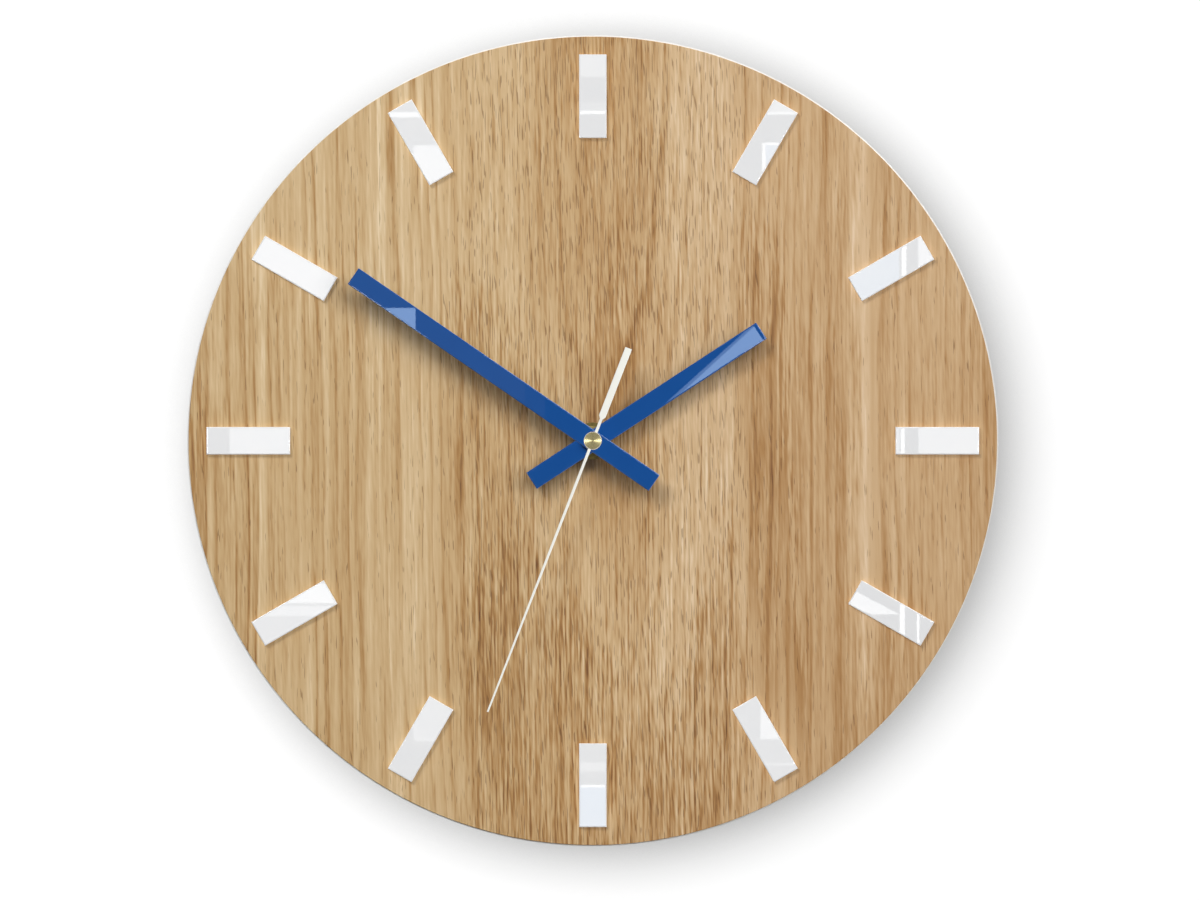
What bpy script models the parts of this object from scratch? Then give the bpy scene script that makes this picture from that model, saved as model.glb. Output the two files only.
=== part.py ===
"""Round wall clock: an oak-veneered dial with acrylic hour bars and hands on a battery quartz movement.

Everything is modelled on a bench frame (X right, Y towards twelve o'clock, Z out of the wall towards the
room, Z = 0 on the wall) and stood upright by one parent empty, so the clock faces -Y of the world and
+Z is up.
All lengths are in metres.
"""

import math

import bmesh
import bpy
import mathutils

# Dial
DIAL_DIAMETER = 0.330
CORE_THICKNESS = 0.0032
VENEER_THICKNESS = 0.0006
VENEER_REVEAL = 0.0005
SHAFT_HOLE_CLEARANCE = 0.0003

# Hour markers
MARKER_COUNT = 12
MARKER_LENGTH = 0.034
MARKER_WIDTH = 0.0112
MARKER_THICKNESS = 0.002
MARKER_EDGE_MARGIN = 0.0079
MARKER_CHAMFER = 0.0002

# Hands: angles are in degrees clockwise from twelve o'clock
HOUR_HAND_ANGLE = 56.84
MINUTE_HAND_ANGLE = 304.5
SECOND_HAND_ANGLE = 201.2
HAND_WIDTH = 0.0079
HAND_THICKNESS = 0.002
HOUR_HAND_REACH = 0.0817
HOUR_HAND_TAIL = 0.0297
MINUTE_HAND_REACH = 0.1178
MINUTE_HAND_TAIL = 0.0302
SECOND_HAND_REACH = 0.1177
SECOND_HAND_TAIL = 0.0402
SECOND_HAND_THICKNESS = 0.0004
SECOND_TIP_WIDTH = 0.00075
SECOND_ROOT_WIDTH = 0.0012
COUNTERWEIGHT_WIDTH = 0.00286
COUNTERWEIGHT_START = 0.0094
COUNTERWEIGHT_SHOULDER = 0.0012
SECOND_HUB_RADIUS = 0.0025
BOSS_RADIUS = 0.00368
BOSS_HEIGHT = 0.001
BOSS_EDGE = 0.0003
BOSS_TUBE_WALL = 0.0005
HAND_FLANGE_THICKNESS = 0.0008
HAND_FLANGE_MARGIN = 0.0016
HAND_BUSH_WALL = 0.0006
HAND_AIR = 0.0005

# Fixing stack between the movement and the dial
HANGER_WIDTH = 0.024
HANGER_THICKNESS = 0.001
HANGER_FOOT = 0.011
HANGER_TAB_HEIGHT = 0.0175
HANGER_WALL_GAP = 0.0005
NAIL_WINDOW_WIDTH = 0.012
NAIL_WINDOW_HEIGHT = 0.006
NAIL_WINDOW_TOP_BAR = 0.005
GASKET_THICKNESS = 0.001
GASKET_RADIUS = 0.010
THREAD_RADIUS = 0.0039
BUSH_FLANGE_RADIUS = 0.0055
BUSH_FLANGE_THICKNESS = 0.001
WASHER_RADIUS = 0.0075
WASHER_THICKNESS = 0.0008
NUT_ACROSS_FLATS = 0.012
NUT_SIDES = 6
NUT_THICKNESS = 0.0025
BUSH_STAND_PROUD = 0.00075

# Battery and movement shells
BATTERY_DIAMETER = 0.0145
BATTERY_LENGTH = 0.0505
BATTERY_NUB_RADIUS = 0.00275
BATTERY_NUB_LENGTH = 0.001
BATTERY_RECESS = 0.0024
BATTERY_CLEARANCE = 0.0003
CONTACT_ROOM = 0.00155
CONTACT_THICKNESS = 0.0003
CONTACT_HEIGHT = 0.007
CONTACT_REACH_UP = 0.0055
CASE_WALL = 0.0012
CASE_CORNER_RADIUS = 0.004
COVER_THICKNESS = 0.0015
FRONT_PLATE_THICKNESS = 0.0015
BAY_FRONT_WALL = 0.0008
PARTITION_THICKNESS = 0.001
TOP_ROOM = 0.0028
TRAIN_ROOM = 0.0033
SIDE_ROOM = 0.003
LUG_WIDTH = 0.005
LUG_THICKNESS = 0.0008
LUG_HEIGHT = 0.0035
LUG_HOOK = 0.0008
LUG_SPACING = 0.012

# Wheel train: tooth counts, modules and the bearings (degrees anticlockwise from +X) of the arbors
ROTOR_PINION_TEETH = 6
INTERMEDIATE_TEETH = 36
INTERMEDIATE_PINION_TEETH = 6
SECONDS_TEETH = 30
SECONDS_PINION_TEETH = 6
THIRD_TEETH = 45
THIRD_PINION_TEETH = 6
MINUTE_TEETH = 48
MINUTE_PINION_TEETH = 10
MOTION_TEETH = 30
MOTION_PINION_TEETH = 8
HOUR_TEETH = 32
KNOB_PINION_TEETH = 10
ROTOR_MODULE = 0.0003
SECONDS_MODULE = 0.0004
THIRD_MODULE = 0.0003
MOTION_MODULE = 0.00036
ROTOR_BEARING = 20.0
INTERMEDIATE_BEARING = 30.0
THIRD_BEARING = 150.0
MOTION_BEARING = 90.0
KNOB_BEARING = 90.0
WHEEL_THICKNESS = 0.0008
LEVEL_AIR = 0.0008
PINION_OVERRUN = 0.0003
ADDENDUM = 0.9
DEDENDUM = 1.1
TOOTH_ROOT_SHARE = 0.62
TOOTH_TIP_SHARE = 0.24

# Arbors and bearings
PIVOT_RADIUS = 0.0004
PIVOT_DEPTH = 0.0012
ARBOR_RADIUS = 0.0006
SECONDS_ARBOR_RADIUS = 0.0005
TUBE_WALL = 0.00105
HOUR_TUBE_WALL = 0.0007
BEARING_BOSS_RADIUS = 0.0012
BEARING_BOSS_HEIGHT = 0.002
SHOULDER_LENGTH = 0.0007
POST_RADIUS = 0.0005
RUNNING_CLEARANCE = 0.0001
END_SHAKE = 0.0002

# Setting knob in its well
KNOB_RADIUS = 0.005
KNOB_THICKNESS = 0.002
KNOB_RECESS = 0.0004
KNOB_ARBOR_RADIUS = 0.0008
KNOB_GRIP_WIDTH = 0.0016
KNOB_GRIP_DEPTH = 0.001
WELL_CLEARANCE = 0.0004
WELL_WALL = 0.001

# Stepping motor
ROTOR_MAGNET_RADIUS = 0.003
ROTOR_MAGNET_THICKNESS = 0.0016
ROTOR_AIR_GAP = 0.0003
STATOR_RING_WIDTH = 0.0011
LAMINATION_THICKNESS = 0.0008
STATOR_ARM_WIDTH = 0.0027
STATOR_NECK_WIDTH = 0.004
STATOR_SPAN = 0.022
STATOR_LEFT = 0.0015
COIL_RISE = 0.0056
CORE_WIDTH = 0.0022
BOBBIN_LENGTH = 0.013
BOBBIN_FLANGE = 0.008
BOBBIN_WALL = 0.0007
WINDING_DEPTH = 0.0015
BRIDGE_THICKNESS = 0.0008
BRIDGE_MARGIN = 0.0025
SCREW_POST_RADIUS = 0.0015
SCREW_RADIUS = 0.0005
SCREW_HEAD_RADIUS = 0.0013
SCREW_HEAD_HEIGHT = 0.0008
SCREW_GRIP = 0.003
SCREW_SLOT = 0.0003
SCREW_ON_NECK = 0.0054

# Electronics
BOARD_WIDTH = 0.0065
BOARD_THICKNESS = 0.001
BOARD_END_ROOM = 0.0009
CRYSTAL_RADIUS = 0.0015
CRYSTAL_LENGTH = 0.008
CRYSTAL_FROM_END = 0.0069
CHIP_RADIUS = 0.0026
CHIP_HEIGHT = 0.0014
CHIP_FROM_END = 0.0119

# Gaps between touching pieces, and facet counts of round pieces
SEAT_GAP = 0.0002
GLUE_LINE = 0.0001
DIAL_FACETS = 120
FINE_FACETS = 64
ROUND_FACETS = 32
SMALL_FACETS = 16
CORNER_FACETS = 5
SHARP_ANGLE = math.radians(30.0)
MERGE_DISTANCE = 1e-6

# Arbor places on the bench plane


def polar(distance, bearing_degrees):
    """Point at a distance and bearing from the origin, on the bench plane."""
    bearing = math.radians(bearing_degrees)
    return mathutils.Vector((distance * math.cos(bearing), distance * math.sin(bearing)))


CENTRE_AT = mathutils.Vector((0.0, 0.0))
THIRD_DISTANCE = THIRD_MODULE * (SECONDS_PINION_TEETH + THIRD_TEETH) / 2
MINUTE_MODULE = 2 * THIRD_DISTANCE / (THIRD_PINION_TEETH + MINUTE_TEETH)
MOTION_DISTANCE = MOTION_MODULE * (MINUTE_PINION_TEETH + MOTION_TEETH) / 2
HOUR_MODULE = 2 * MOTION_DISTANCE / (MOTION_PINION_TEETH + HOUR_TEETH)
KNOB_DISTANCE = MOTION_MODULE * (MOTION_TEETH + KNOB_PINION_TEETH) / 2
INTERMEDIATE_DISTANCE = SECONDS_MODULE * (INTERMEDIATE_PINION_TEETH + SECONDS_TEETH) / 2
ROTOR_DISTANCE = ROTOR_MODULE * (ROTOR_PINION_TEETH + INTERMEDIATE_TEETH) / 2
THIRD_AT = polar(THIRD_DISTANCE, THIRD_BEARING)
MOTION_AT = polar(MOTION_DISTANCE, MOTION_BEARING)
KNOB_AT = MOTION_AT + polar(KNOB_DISTANCE, KNOB_BEARING)
INTERMEDIATE_AT = polar(INTERMEDIATE_DISTANCE, INTERMEDIATE_BEARING)
ROTOR_AT = INTERMEDIATE_AT + polar(ROTOR_DISTANCE, ROTOR_BEARING)

# Levels of the train, from the wall outwards
BEARING_TOP = COVER_THICKNESS + BEARING_BOSS_HEIGHT
SHOULDER_Z = BEARING_TOP + END_SHAKE
LEVEL_STEP = WHEEL_THICKNESS + LEVEL_AIR
INTERMEDIATE_Z = SHOULDER_Z + SHOULDER_LENGTH
SECONDS_Z = INTERMEDIATE_Z + LEVEL_STEP
THIRD_Z = SECONDS_Z + LEVEL_STEP
MINUTE_Z = THIRD_Z + LEVEL_STEP
MOTION_Z = MINUTE_Z + LEVEL_STEP
HOUR_Z = MOTION_Z + LEVEL_STEP
PINION_LENGTH = LEVEL_AIR + WHEEL_THICKNESS + PINION_OVERRUN
BRIDGE_Z = THIRD_Z
STATOR_Z = BRIDGE_Z - SEAT_GAP - LAMINATION_THICKNESS
MAGNET_TOP = BRIDGE_Z - END_SHAKE

# Radii of the nested arbors and tubes
MINUTE_BORE = SECONDS_ARBOR_RADIUS + RUNNING_CLEARANCE
MINUTE_TUBE = MINUTE_BORE + TUBE_WALL
HOUR_BORE = MINUTE_TUBE + RUNNING_CLEARANCE
HOUR_TUBE = HOUR_BORE + HOUR_TUBE_WALL
BUSH_BORE = HOUR_TUBE + RUNNING_CLEARANCE
SHAFT_HOLE = THREAD_RADIUS + SHAFT_HOLE_CLEARANCE
MINUTE_WHEEL_TIP = MINUTE_MODULE * (MINUTE_TEETH / 2 + ADDENDUM)
SECONDS_WHEEL_TIP = SECONDS_MODULE * (SECONDS_TEETH / 2 + ADDENDUM)
HOUR_WHEEL_TIP = HOUR_MODULE * (HOUR_TEETH / 2 + ADDENDUM)

# Movement shells
TRAIN_RADIUS = max(MINUTE_WHEEL_TIP, SECONDS_WHEEL_TIP, HOUR_WHEEL_TIP)
PARTITION_TOP = -(TRAIN_RADIUS + TRAIN_ROOM)
BAY_TOP = PARTITION_TOP - PARTITION_THICKNESS
BATTERY_Y = BAY_TOP - BATTERY_CLEARANCE - BATTERY_DIAMETER / 2
BAY_BOTTOM = BATTERY_Y - BATTERY_DIAMETER / 2 - BATTERY_CLEARANCE
CASE_BOTTOM = BAY_BOTTOM - CASE_WALL
BATTERY_Z = BATTERY_RECESS + BATTERY_DIAMETER / 2
BAY_FRONT = BATTERY_RECESS + BATTERY_DIAMETER + BATTERY_CLEARANCE
TRAIN_FRONT = HOUR_Z + WHEEL_THICKNESS + LEVEL_AIR + BUSH_FLANGE_THICKNESS + SEAT_GAP
CASE_FRONT = max(BAY_FRONT + BAY_FRONT_WALL, TRAIN_FRONT + FRONT_PLATE_THICKNESS)
FRONT_INNER = CASE_FRONT - FRONT_PLATE_THICKNESS
CASE_REAR = COVER_THICKNESS + SEAT_GAP
COIL_Y = KNOB_AT.y + COIL_RISE
CASE_TOP = COIL_Y + BOBBIN_FLANGE / 2 + TOP_ROOM + CASE_WALL
STATOR_RIGHT = STATOR_LEFT + STATOR_SPAN
INNER_HALF_WIDTH = max(BATTERY_LENGTH / 2 + CONTACT_ROOM, STATOR_RIGHT + SIDE_ROOM)
CASE_HALF_WIDTH = INNER_HALF_WIDTH + CASE_WALL

# Fixing stack and hands, from the movement outwards
HANGER_Z = CASE_FRONT + SEAT_GAP
GASKET_Z = HANGER_Z + HANGER_THICKNESS + SEAT_GAP
CORE_Z = GASKET_Z + GASKET_THICKNESS + SEAT_GAP
VENEER_Z = CORE_Z + CORE_THICKNESS + GLUE_LINE
DIAL_FACE = VENEER_Z + VENEER_THICKNESS
WASHER_Z = DIAL_FACE + SEAT_GAP
NUT_Z = WASHER_Z + WASHER_THICKNESS + SEAT_GAP
BUSH_END = NUT_Z + NUT_THICKNESS + BUSH_STAND_PROUD
HOUR_FLANGE_Z = BUSH_END + HAND_AIR
HOUR_HAND_Z = HOUR_FLANGE_Z + HAND_FLANGE_THICKNESS + GLUE_LINE
HOUR_HAND_FRONT = HOUR_HAND_Z + HAND_THICKNESS
MINUTE_FLANGE_Z = HOUR_HAND_FRONT + HAND_AIR
MINUTE_HAND_Z = MINUTE_FLANGE_Z + HAND_FLANGE_THICKNESS + GLUE_LINE
MINUTE_HAND_FRONT = MINUTE_HAND_Z + HAND_THICKNESS
BOSS_REAR = MINUTE_HAND_FRONT + HAND_AIR
SECOND_HAND_Z = BOSS_REAR + BOSS_TUBE_WALL + GLUE_LINE
BOSS_HEAD_Z = SECOND_HAND_Z + SECOND_HAND_THICKNESS + GLUE_LINE
BOSS_FRONT = BOSS_HEAD_Z + BOSS_HEIGHT

# Motor places
COIL_Z = BRIDGE_Z
STATOR_HOLE = ROTOR_MAGNET_RADIUS + ROTOR_AIR_GAP
STATOR_RING = STATOR_HOLE + STATOR_RING_WIDTH
ARM_LEFT_X = STATOR_LEFT + STATOR_ARM_WIDTH / 2
ARM_RIGHT_X = STATOR_RIGHT - STATOR_ARM_WIDTH / 2
NECK_FOOT = mathutils.Vector((ARM_LEFT_X, (ROTOR_AT.y + COIL_Y) / 2))
NECK_WAY = (NECK_FOOT - ROTOR_AT).normalized()
CORE_SCREWS = [mathutils.Vector((ARM_LEFT_X, COIL_Y)), mathutils.Vector((ARM_RIGHT_X, COIL_Y))]
BRIDGE_SCREWS = [ROTOR_AT + NECK_WAY * SCREW_ON_NECK, mathutils.Vector((ARM_RIGHT_X, ROTOR_AT.y))]
POST_FOOT = BRIDGE_Z + max(BRIDGE_THICKNESS, LAMINATION_THICKNESS) + SEAT_GAP

# Scene set-up: every part hangs from one empty that stands the bench frame up


def new_collection(name):
    """Make an empty collection linked to the scene."""
    collection = bpy.data.collections.new(name)
    bpy.context.scene.collection.children.link(collection)
    return collection


for old in list(bpy.data.objects):
    bpy.data.objects.remove(old, do_unlink=True)
PARTS = new_collection("wall_clock")
CUTTERS = new_collection("wall_clock_cutters")
BENCH = bpy.data.objects.new("bench", None)
PARTS.objects.link(BENCH)
BENCH.rotation_euler = (math.pi / 2, 0.0, 0.0)


def finish(name, colour, roughness, metallic=0.0):
    """Make a Principled material."""
    material = bpy.data.materials.new(name)
    material.use_nodes = True
    shader = material.node_tree.nodes["Principled BSDF"]
    shader.inputs["Base Color"].default_value = (*colour, 1.0)
    shader.inputs["Roughness"].default_value = roughness
    shader.inputs["Metallic"].default_value = metallic
    return material


WHITE_CORE = finish("white_core", (0.80, 0.79, 0.76), 0.6)
OAK = finish("oak", (0.55, 0.38, 0.22), 0.5)
WHITE_ACRYLIC = finish("white_acrylic", (0.83, 0.83, 0.81), 0.1)
BLUE_ACRYLIC = finish("blue_acrylic", (0.01, 0.08, 0.29), 0.1)
PALE_PAINT = finish("pale_paint", (0.75, 0.73, 0.69), 0.4)
BRASS = finish("brass", (0.72, 0.52, 0.25), 0.3, 1.0)
STEEL = finish("steel", (0.60, 0.60, 0.60), 0.35, 1.0)
IRON = finish("iron", (0.35, 0.35, 0.36), 0.45, 1.0)
COPPER = finish("copper", (0.65, 0.28, 0.12), 0.4, 1.0)
FERRITE = finish("ferrite", (0.06, 0.06, 0.06), 0.7)
RUBBER = finish("rubber", (0.02, 0.02, 0.02), 0.9)
BLACK_PLASTIC = finish("black_plastic", (0.025, 0.025, 0.027), 0.5)
WHITE_PLASTIC = finish("white_plastic", (0.75, 0.75, 0.72), 0.5)
BOARD_GREEN = finish("board_green", (0.03, 0.16, 0.06), 0.4)
CELL_JACKET = finish("cell_jacket", (0.10, 0.10, 0.11), 0.3)


def new_part(name, mesh, material, at=CENTRE_AT, level=0.0, turn=0.0):
    """Hang a mesh or curve from the bench, at a place, a level and a turn about Z."""
    part = bpy.data.objects.new(name, mesh)
    PARTS.objects.link(part)
    part.parent = BENCH
    part.location = (at[0], at[1], level)
    part.rotation_euler = (0.0, 0.0, turn)
    if material:
        part.data.materials.append(material)
    return part


def as_tool(part):
    """Turn an object into a tool that only cuts or joins another."""
    PARTS.objects.unlink(part)
    CUTTERS.objects.link(part)
    part.hide_render = True
    part.display_type = "WIRE"
    return part


def combine(part, tool, operation):
    """Join a tool to a part, or cut it out of the part."""
    modifier = part.modifiers.new(f"{operation.lower()}_{tool.name}", "BOOLEAN")
    modifier.operation = operation
    modifier.object = as_tool(tool)
    return part


def smooth(part):
    """Shade a round piece smooth, with its edges kept sharp."""
    part.data.shade_smooth()
    part.data.set_sharp_from_angle(angle=SHARP_ANGLE)
    return part


def circle(radius, facets=ROUND_FACETS, centre=CENTRE_AT):
    """Points round a circle, anticlockwise."""
    turns = [2 * math.pi * i / facets for i in range(facets)]
    return [(centre[0] + radius * math.cos(a), centre[1] + radius * math.sin(a)) for a in turns]


def rectangle(left, right, bottom, top):
    """Corners of an upright rectangle."""
    return [(left, bottom), (right, bottom), (right, top), (left, top)]


def rounded_rectangle(left, right, bottom, top, radius):
    """Corners of a rectangle with each corner as an arc."""
    centres = [(right - radius, top - radius, 0), (left + radius, top - radius, 1)]
    centres += [(left + radius, bottom + radius, 2), (right - radius, bottom + radius, 3)]
    points = []
    for x, y, quarter in centres:
        for i in range(CORNER_FACETS + 1):
            angle = (quarter + i / CORNER_FACETS) * math.pi / 2
            points.append((x + radius * math.cos(angle), y + radius * math.sin(angle)))
    return points


def plate(name, loops, rear, front, material=None, at=CENTRE_AT, turn=0.0):
    """Flat piece from a filled outline, with any further loops as holes, between two levels."""
    curve = bpy.data.curves.new(name, "CURVE")
    curve.dimensions = "2D"
    curve.fill_mode = "BOTH"
    curve.extrude = (front - rear) / 2
    for loop in loops:
        spline = curve.splines.new("POLY")
        spline.points.add(len(loop) - 1)
        for point, (x, y) in zip(spline.points, loop):
            point.co = (x, y, 0.0, 1.0)
        spline.use_cyclic_u = True
    drawn = new_part(name + "_outline", curve, None, at, (rear + front) / 2, turn)
    bpy.context.view_layer.update()
    shape = bpy.data.meshes.new_from_object(drawn.evaluated_get(bpy.context.evaluated_depsgraph_get()))
    body = bmesh.new()
    body.from_mesh(shape)
    bmesh.ops.remove_doubles(body, verts=body.verts, dist=MERGE_DISTANCE)
    bmesh.ops.recalc_face_normals(body, faces=body.faces)
    body.to_mesh(shape)
    body.free()
    shape.name = name
    bpy.data.objects.remove(drawn)
    return new_part(name, shape, material, at, (rear + front) / 2, turn)


def turned(name, profile, material=None, at=CENTRE_AT, facets=ROUND_FACETS, closed=False):
    """Piece turned about Z from (radius, level) points that run down its outer side."""
    shape = bpy.data.meshes.new(name)
    edges = [(i, i + 1) for i in range(len(profile) - 1)]
    if closed:
        edges.append((len(profile) - 1, 0))
    shape.from_pydata([(radius, 0.0, level) for radius, level in profile], edges, [])
    part = new_part(name, shape, material, at)
    screw = part.modifiers.new("turn", "SCREW")
    screw.axis = "Z"
    screw.angle = 2 * math.pi
    screw.steps = facets
    screw.render_steps = facets
    screw.use_merge_vertices = True
    screw.merge_threshold = MERGE_DISTANCE
    screw.use_smooth_shade = False
    return part


def ring(name, bore, radius, rear, front, material=None, at=CENTRE_AT, facets=ROUND_FACETS):
    """Plain turned ring."""
    profile = [(radius, front), (radius, rear), (bore, rear), (bore, front)]
    return turned(name, profile, material, at, facets, closed=True)


def spindle(name, steps, material=None, at=CENTRE_AT, facets=SMALL_FACETS):
    """Solid turned piece from (radius, rear, front) steps listed from the front to the rear."""
    profile = [(0.0, steps[0][2])]
    for radius, rear, front in steps:
        profile += [(radius, front), (radius, rear)]
    profile.append((0.0, steps[-1][1]))
    return turned(name, profile, material, at, facets)


def rods(name, rods_list, material=None, facets=SMALL_FACETS):
    """Separate upright cylinders in one mesh, from (place, radius, rear, front)."""
    body = bmesh.new()
    for place, radius, rear, front in rods_list:
        shift = mathutils.Matrix.Translation((place[0], place[1], (rear + front) / 2))
        bmesh.ops.create_cone(
            body,
            cap_ends=True,
            segments=facets,
            radius1=radius,
            radius2=radius,
            depth=front - rear,
            matrix=shift,
        )
    shape = bpy.data.meshes.new(name)
    body.to_mesh(shape)
    body.free()
    return new_part(name, shape, material)


def blocks(name, boxes, material=None):
    """Separate upright boxes in one mesh, from (left, right, bottom, top, rear, front)."""
    body = bmesh.new()
    for left, right, bottom, top, rear, front in boxes:
        middle = ((left + right) / 2, (bottom + top) / 2, (rear + front) / 2)
        size = (right - left, top - bottom, front - rear, 1.0)
        place = mathutils.Matrix.Translation(middle) @ mathutils.Matrix.Diagonal(size)
        bmesh.ops.create_cube(body, size=1.0, matrix=place)
    shape = bpy.data.meshes.new(name)
    body.to_mesh(shape)
    body.free()
    return new_part(name, shape, material)


def chamfer(part, width):
    """Chamfer every sharp edge."""
    bevel = part.modifiers.new("chamfer", "BEVEL")
    bevel.width = width
    bevel.segments = 1
    bevel.limit_method = "ANGLE"
    return part


# Dial: white core board, oak veneer and the hour bars


def build_dial():
    """Board, veneer and the ring of marker bars."""
    radius = DIAL_DIAMETER / 2
    hole = circle(SHAFT_HOLE)
    core_loops = [circle(radius, DIAL_FACETS), hole]
    smooth(plate("dial_core", core_loops, CORE_Z, CORE_Z + CORE_THICKNESS, WHITE_CORE))
    veneer_edge = circle(radius - VENEER_REVEAL, DIAL_FACETS)
    smooth(plate("oak_veneer", [veneer_edge, hole], VENEER_Z, DIAL_FACE, OAK))
    middle = radius - MARKER_EDGE_MARGIN - MARKER_LENGTH / 2
    for hour in range(1, MARKER_COUNT + 1):
        turn = -2 * math.pi * hour / MARKER_COUNT
        half_width = MARKER_WIDTH / 2
        bar = (-half_width, half_width, middle - MARKER_LENGTH / 2, middle + MARKER_LENGTH / 2)
        marker = blocks(f"hour_marker_{hour:02d}", [(*bar, 0.0, MARKER_THICKNESS)], WHITE_ACRYLIC)
        marker.location.z = DIAL_FACE + GLUE_LINE
        marker.rotation_euler.z = turn
        chamfer(marker, MARKER_CHAMFER)


# Hands and the bushes that carry them


def build_bar_hand(name, angle, reach, tail, tube, flange_rear, hand_rear):
    """Straight acrylic bar on a flanged bush that is pressed on its tube."""
    turn = -math.radians(angle)
    bush_bore = tube + RUNNING_CLEARANCE
    spigot = bush_bore + HAND_BUSH_WALL
    hand_hole = spigot + RUNNING_CLEARANCE
    flange = spigot + HAND_FLANGE_MARGIN
    front = hand_rear + HAND_THICKNESS
    half_width = max(HAND_WIDTH / 2, hand_hole + SEAT_GAP)
    bar = rectangle(-half_width, half_width, -tail, reach)
    hand = plate(f"{name}_hand", [bar, circle(hand_hole)], hand_rear, front, BLUE_ACRYLIC, turn=turn)
    profile = [(spigot, front), (spigot, flange_rear + HAND_FLANGE_THICKNESS)]
    profile += [(flange, flange_rear + HAND_FLANGE_THICKNESS), (flange, flange_rear)]
    profile += [(bush_bore, flange_rear), (bush_bore, front)]
    smooth(turned(f"{name}_hand_bush", profile, BRASS, closed=True))
    return hand


def second_hand_outline():
    """Needle, hub and counterweight, anticlockwise from the needle's tip."""
    tip = SECOND_TIP_WIDTH / 2
    root = SECOND_ROOT_WIDTH / 2
    weight = COUNTERWEIGHT_WIDTH / 2
    hub = SECOND_HUB_RADIUS
    open_angle = math.asin(root / hub)
    left = [(-tip, SECOND_HAND_REACH)]
    first = math.pi / 2 + open_angle
    last = 3 * math.pi / 2 - open_angle
    for i in range(SMALL_FACETS + 1):
        angle = first + (last - first) * i / SMALL_FACETS
        left.append((hub * math.cos(angle), hub * math.sin(angle)))
    left.append((-root, -COUNTERWEIGHT_START))
    left.append((-weight, -COUNTERWEIGHT_START - COUNTERWEIGHT_SHOULDER))
    left.append((-weight, -SECOND_HAND_TAIL))
    return left + [(-x, y) for x, y in reversed(left)]


def build_hands():
    """The three hands, their bushes and the second hand's boss."""
    hour_size = (HOUR_HAND_ANGLE, HOUR_HAND_REACH, HOUR_HAND_TAIL)
    minute_size = (MINUTE_HAND_ANGLE, MINUTE_HAND_REACH, MINUTE_HAND_TAIL)
    build_bar_hand("hour", *hour_size, HOUR_TUBE, HOUR_FLANGE_Z, HOUR_HAND_Z)
    build_bar_hand("minute", *minute_size, MINUTE_TUBE, MINUTE_FLANGE_Z, MINUTE_HAND_Z)
    bore = SECONDS_ARBOR_RADIUS + RUNNING_CLEARANCE
    tube = bore + BOSS_TUBE_WALL
    loops = [second_hand_outline(), circle(tube + RUNNING_CLEARANCE, SMALL_FACETS)]
    front = SECOND_HAND_Z + SECOND_HAND_THICKNESS
    plate("second_hand", loops, SECOND_HAND_Z, front, PALE_PAINT, turn=-math.radians(SECOND_HAND_ANGLE))
    profile = [(0.0, BOSS_FRONT), (BOSS_RADIUS - BOSS_EDGE, BOSS_FRONT)]
    profile += [(BOSS_RADIUS, BOSS_FRONT - BOSS_EDGE)]
    profile += [(BOSS_RADIUS, BOSS_HEAD_Z), (tube, BOSS_HEAD_Z), (tube, BOSS_REAR), (bore, BOSS_REAR)]
    profile += [(bore, BOSS_HEAD_Z), (0.0, BOSS_HEAD_Z)]
    smooth(turned("second_hand_boss", profile, BRASS))


# Hanger, gasket, bush, washer and nut that clamp the dial to the movement


def build_fixings():
    """The clamped stack on the threaded bush."""
    half_width = HANGER_WIDTH / 2
    upright_inner = CASE_TOP + SEAT_GAP
    upright_outer = upright_inner + HANGER_THICKNESS
    tab_front = HANGER_WALL_GAP + HANGER_THICKNESS
    tab_top = upright_outer + HANGER_TAB_HEIGHT
    plate_front = HANGER_Z + HANGER_THICKNESS
    sides = (-half_width, half_width)
    foot_block = (*sides, -HANGER_FOOT, upright_outer, HANGER_Z, plate_front)
    upright_block = (*sides, upright_inner, upright_outer, HANGER_WALL_GAP, plate_front)
    tab_block = (*sides, upright_inner, tab_top, HANGER_WALL_GAP, tab_front)
    hanger = blocks("hanger_bracket", [foot_block], STEEL)
    combine(hanger, blocks("hanger_upright", [upright_block]), "UNION")
    combine(hanger, blocks("hanger_tab", [tab_block]), "UNION")
    window_top = tab_top - NAIL_WINDOW_TOP_BAR
    window_half = NAIL_WINDOW_WIDTH / 2
    window_foot = window_top - NAIL_WINDOW_HEIGHT
    window_levels = (HANGER_WALL_GAP - SEAT_GAP, tab_front + SEAT_GAP)
    window = (-window_half, window_half, window_foot, window_top, *window_levels)
    combine(hanger, blocks("nail_window", [window]), "DIFFERENCE")
    shaft_hole = [(CENTRE_AT, SHAFT_HOLE, HANGER_Z - SEAT_GAP, plate_front + SEAT_GAP)]
    combine(hanger, rods("hanger_shaft_hole", shaft_hole, facets=ROUND_FACETS), "DIFFERENCE")
    gasket_front = GASKET_Z + GASKET_THICKNESS
    smooth(ring("rubber_gasket", SHAFT_HOLE, GASKET_RADIUS, GASKET_Z, gasket_front, RUBBER))
    flange_front = FRONT_INNER - SEAT_GAP
    flange_rear = flange_front - BUSH_FLANGE_THICKNESS
    profile = [(THREAD_RADIUS, BUSH_END), (THREAD_RADIUS, flange_front), (BUSH_FLANGE_RADIUS, flange_front)]
    profile += [(BUSH_FLANGE_RADIUS, flange_rear), (BUSH_BORE, flange_rear), (BUSH_BORE, BUSH_END)]
    smooth(turned("threaded_bush", profile, BRASS, closed=True))
    smooth(ring("washer", SHAFT_HOLE, WASHER_RADIUS, WASHER_Z, WASHER_Z + WASHER_THICKNESS, BRASS))
    corner_radius = NUT_ACROSS_FLATS / 2 / math.cos(math.pi / NUT_SIDES)
    loops = [circle(corner_radius, NUT_SIDES), circle(THREAD_RADIUS + RUNNING_CLEARANCE)]
    plate("hex_nut", loops, NUT_Z, NUT_Z + NUT_THICKNESS, BRASS)


# Movement shells


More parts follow.
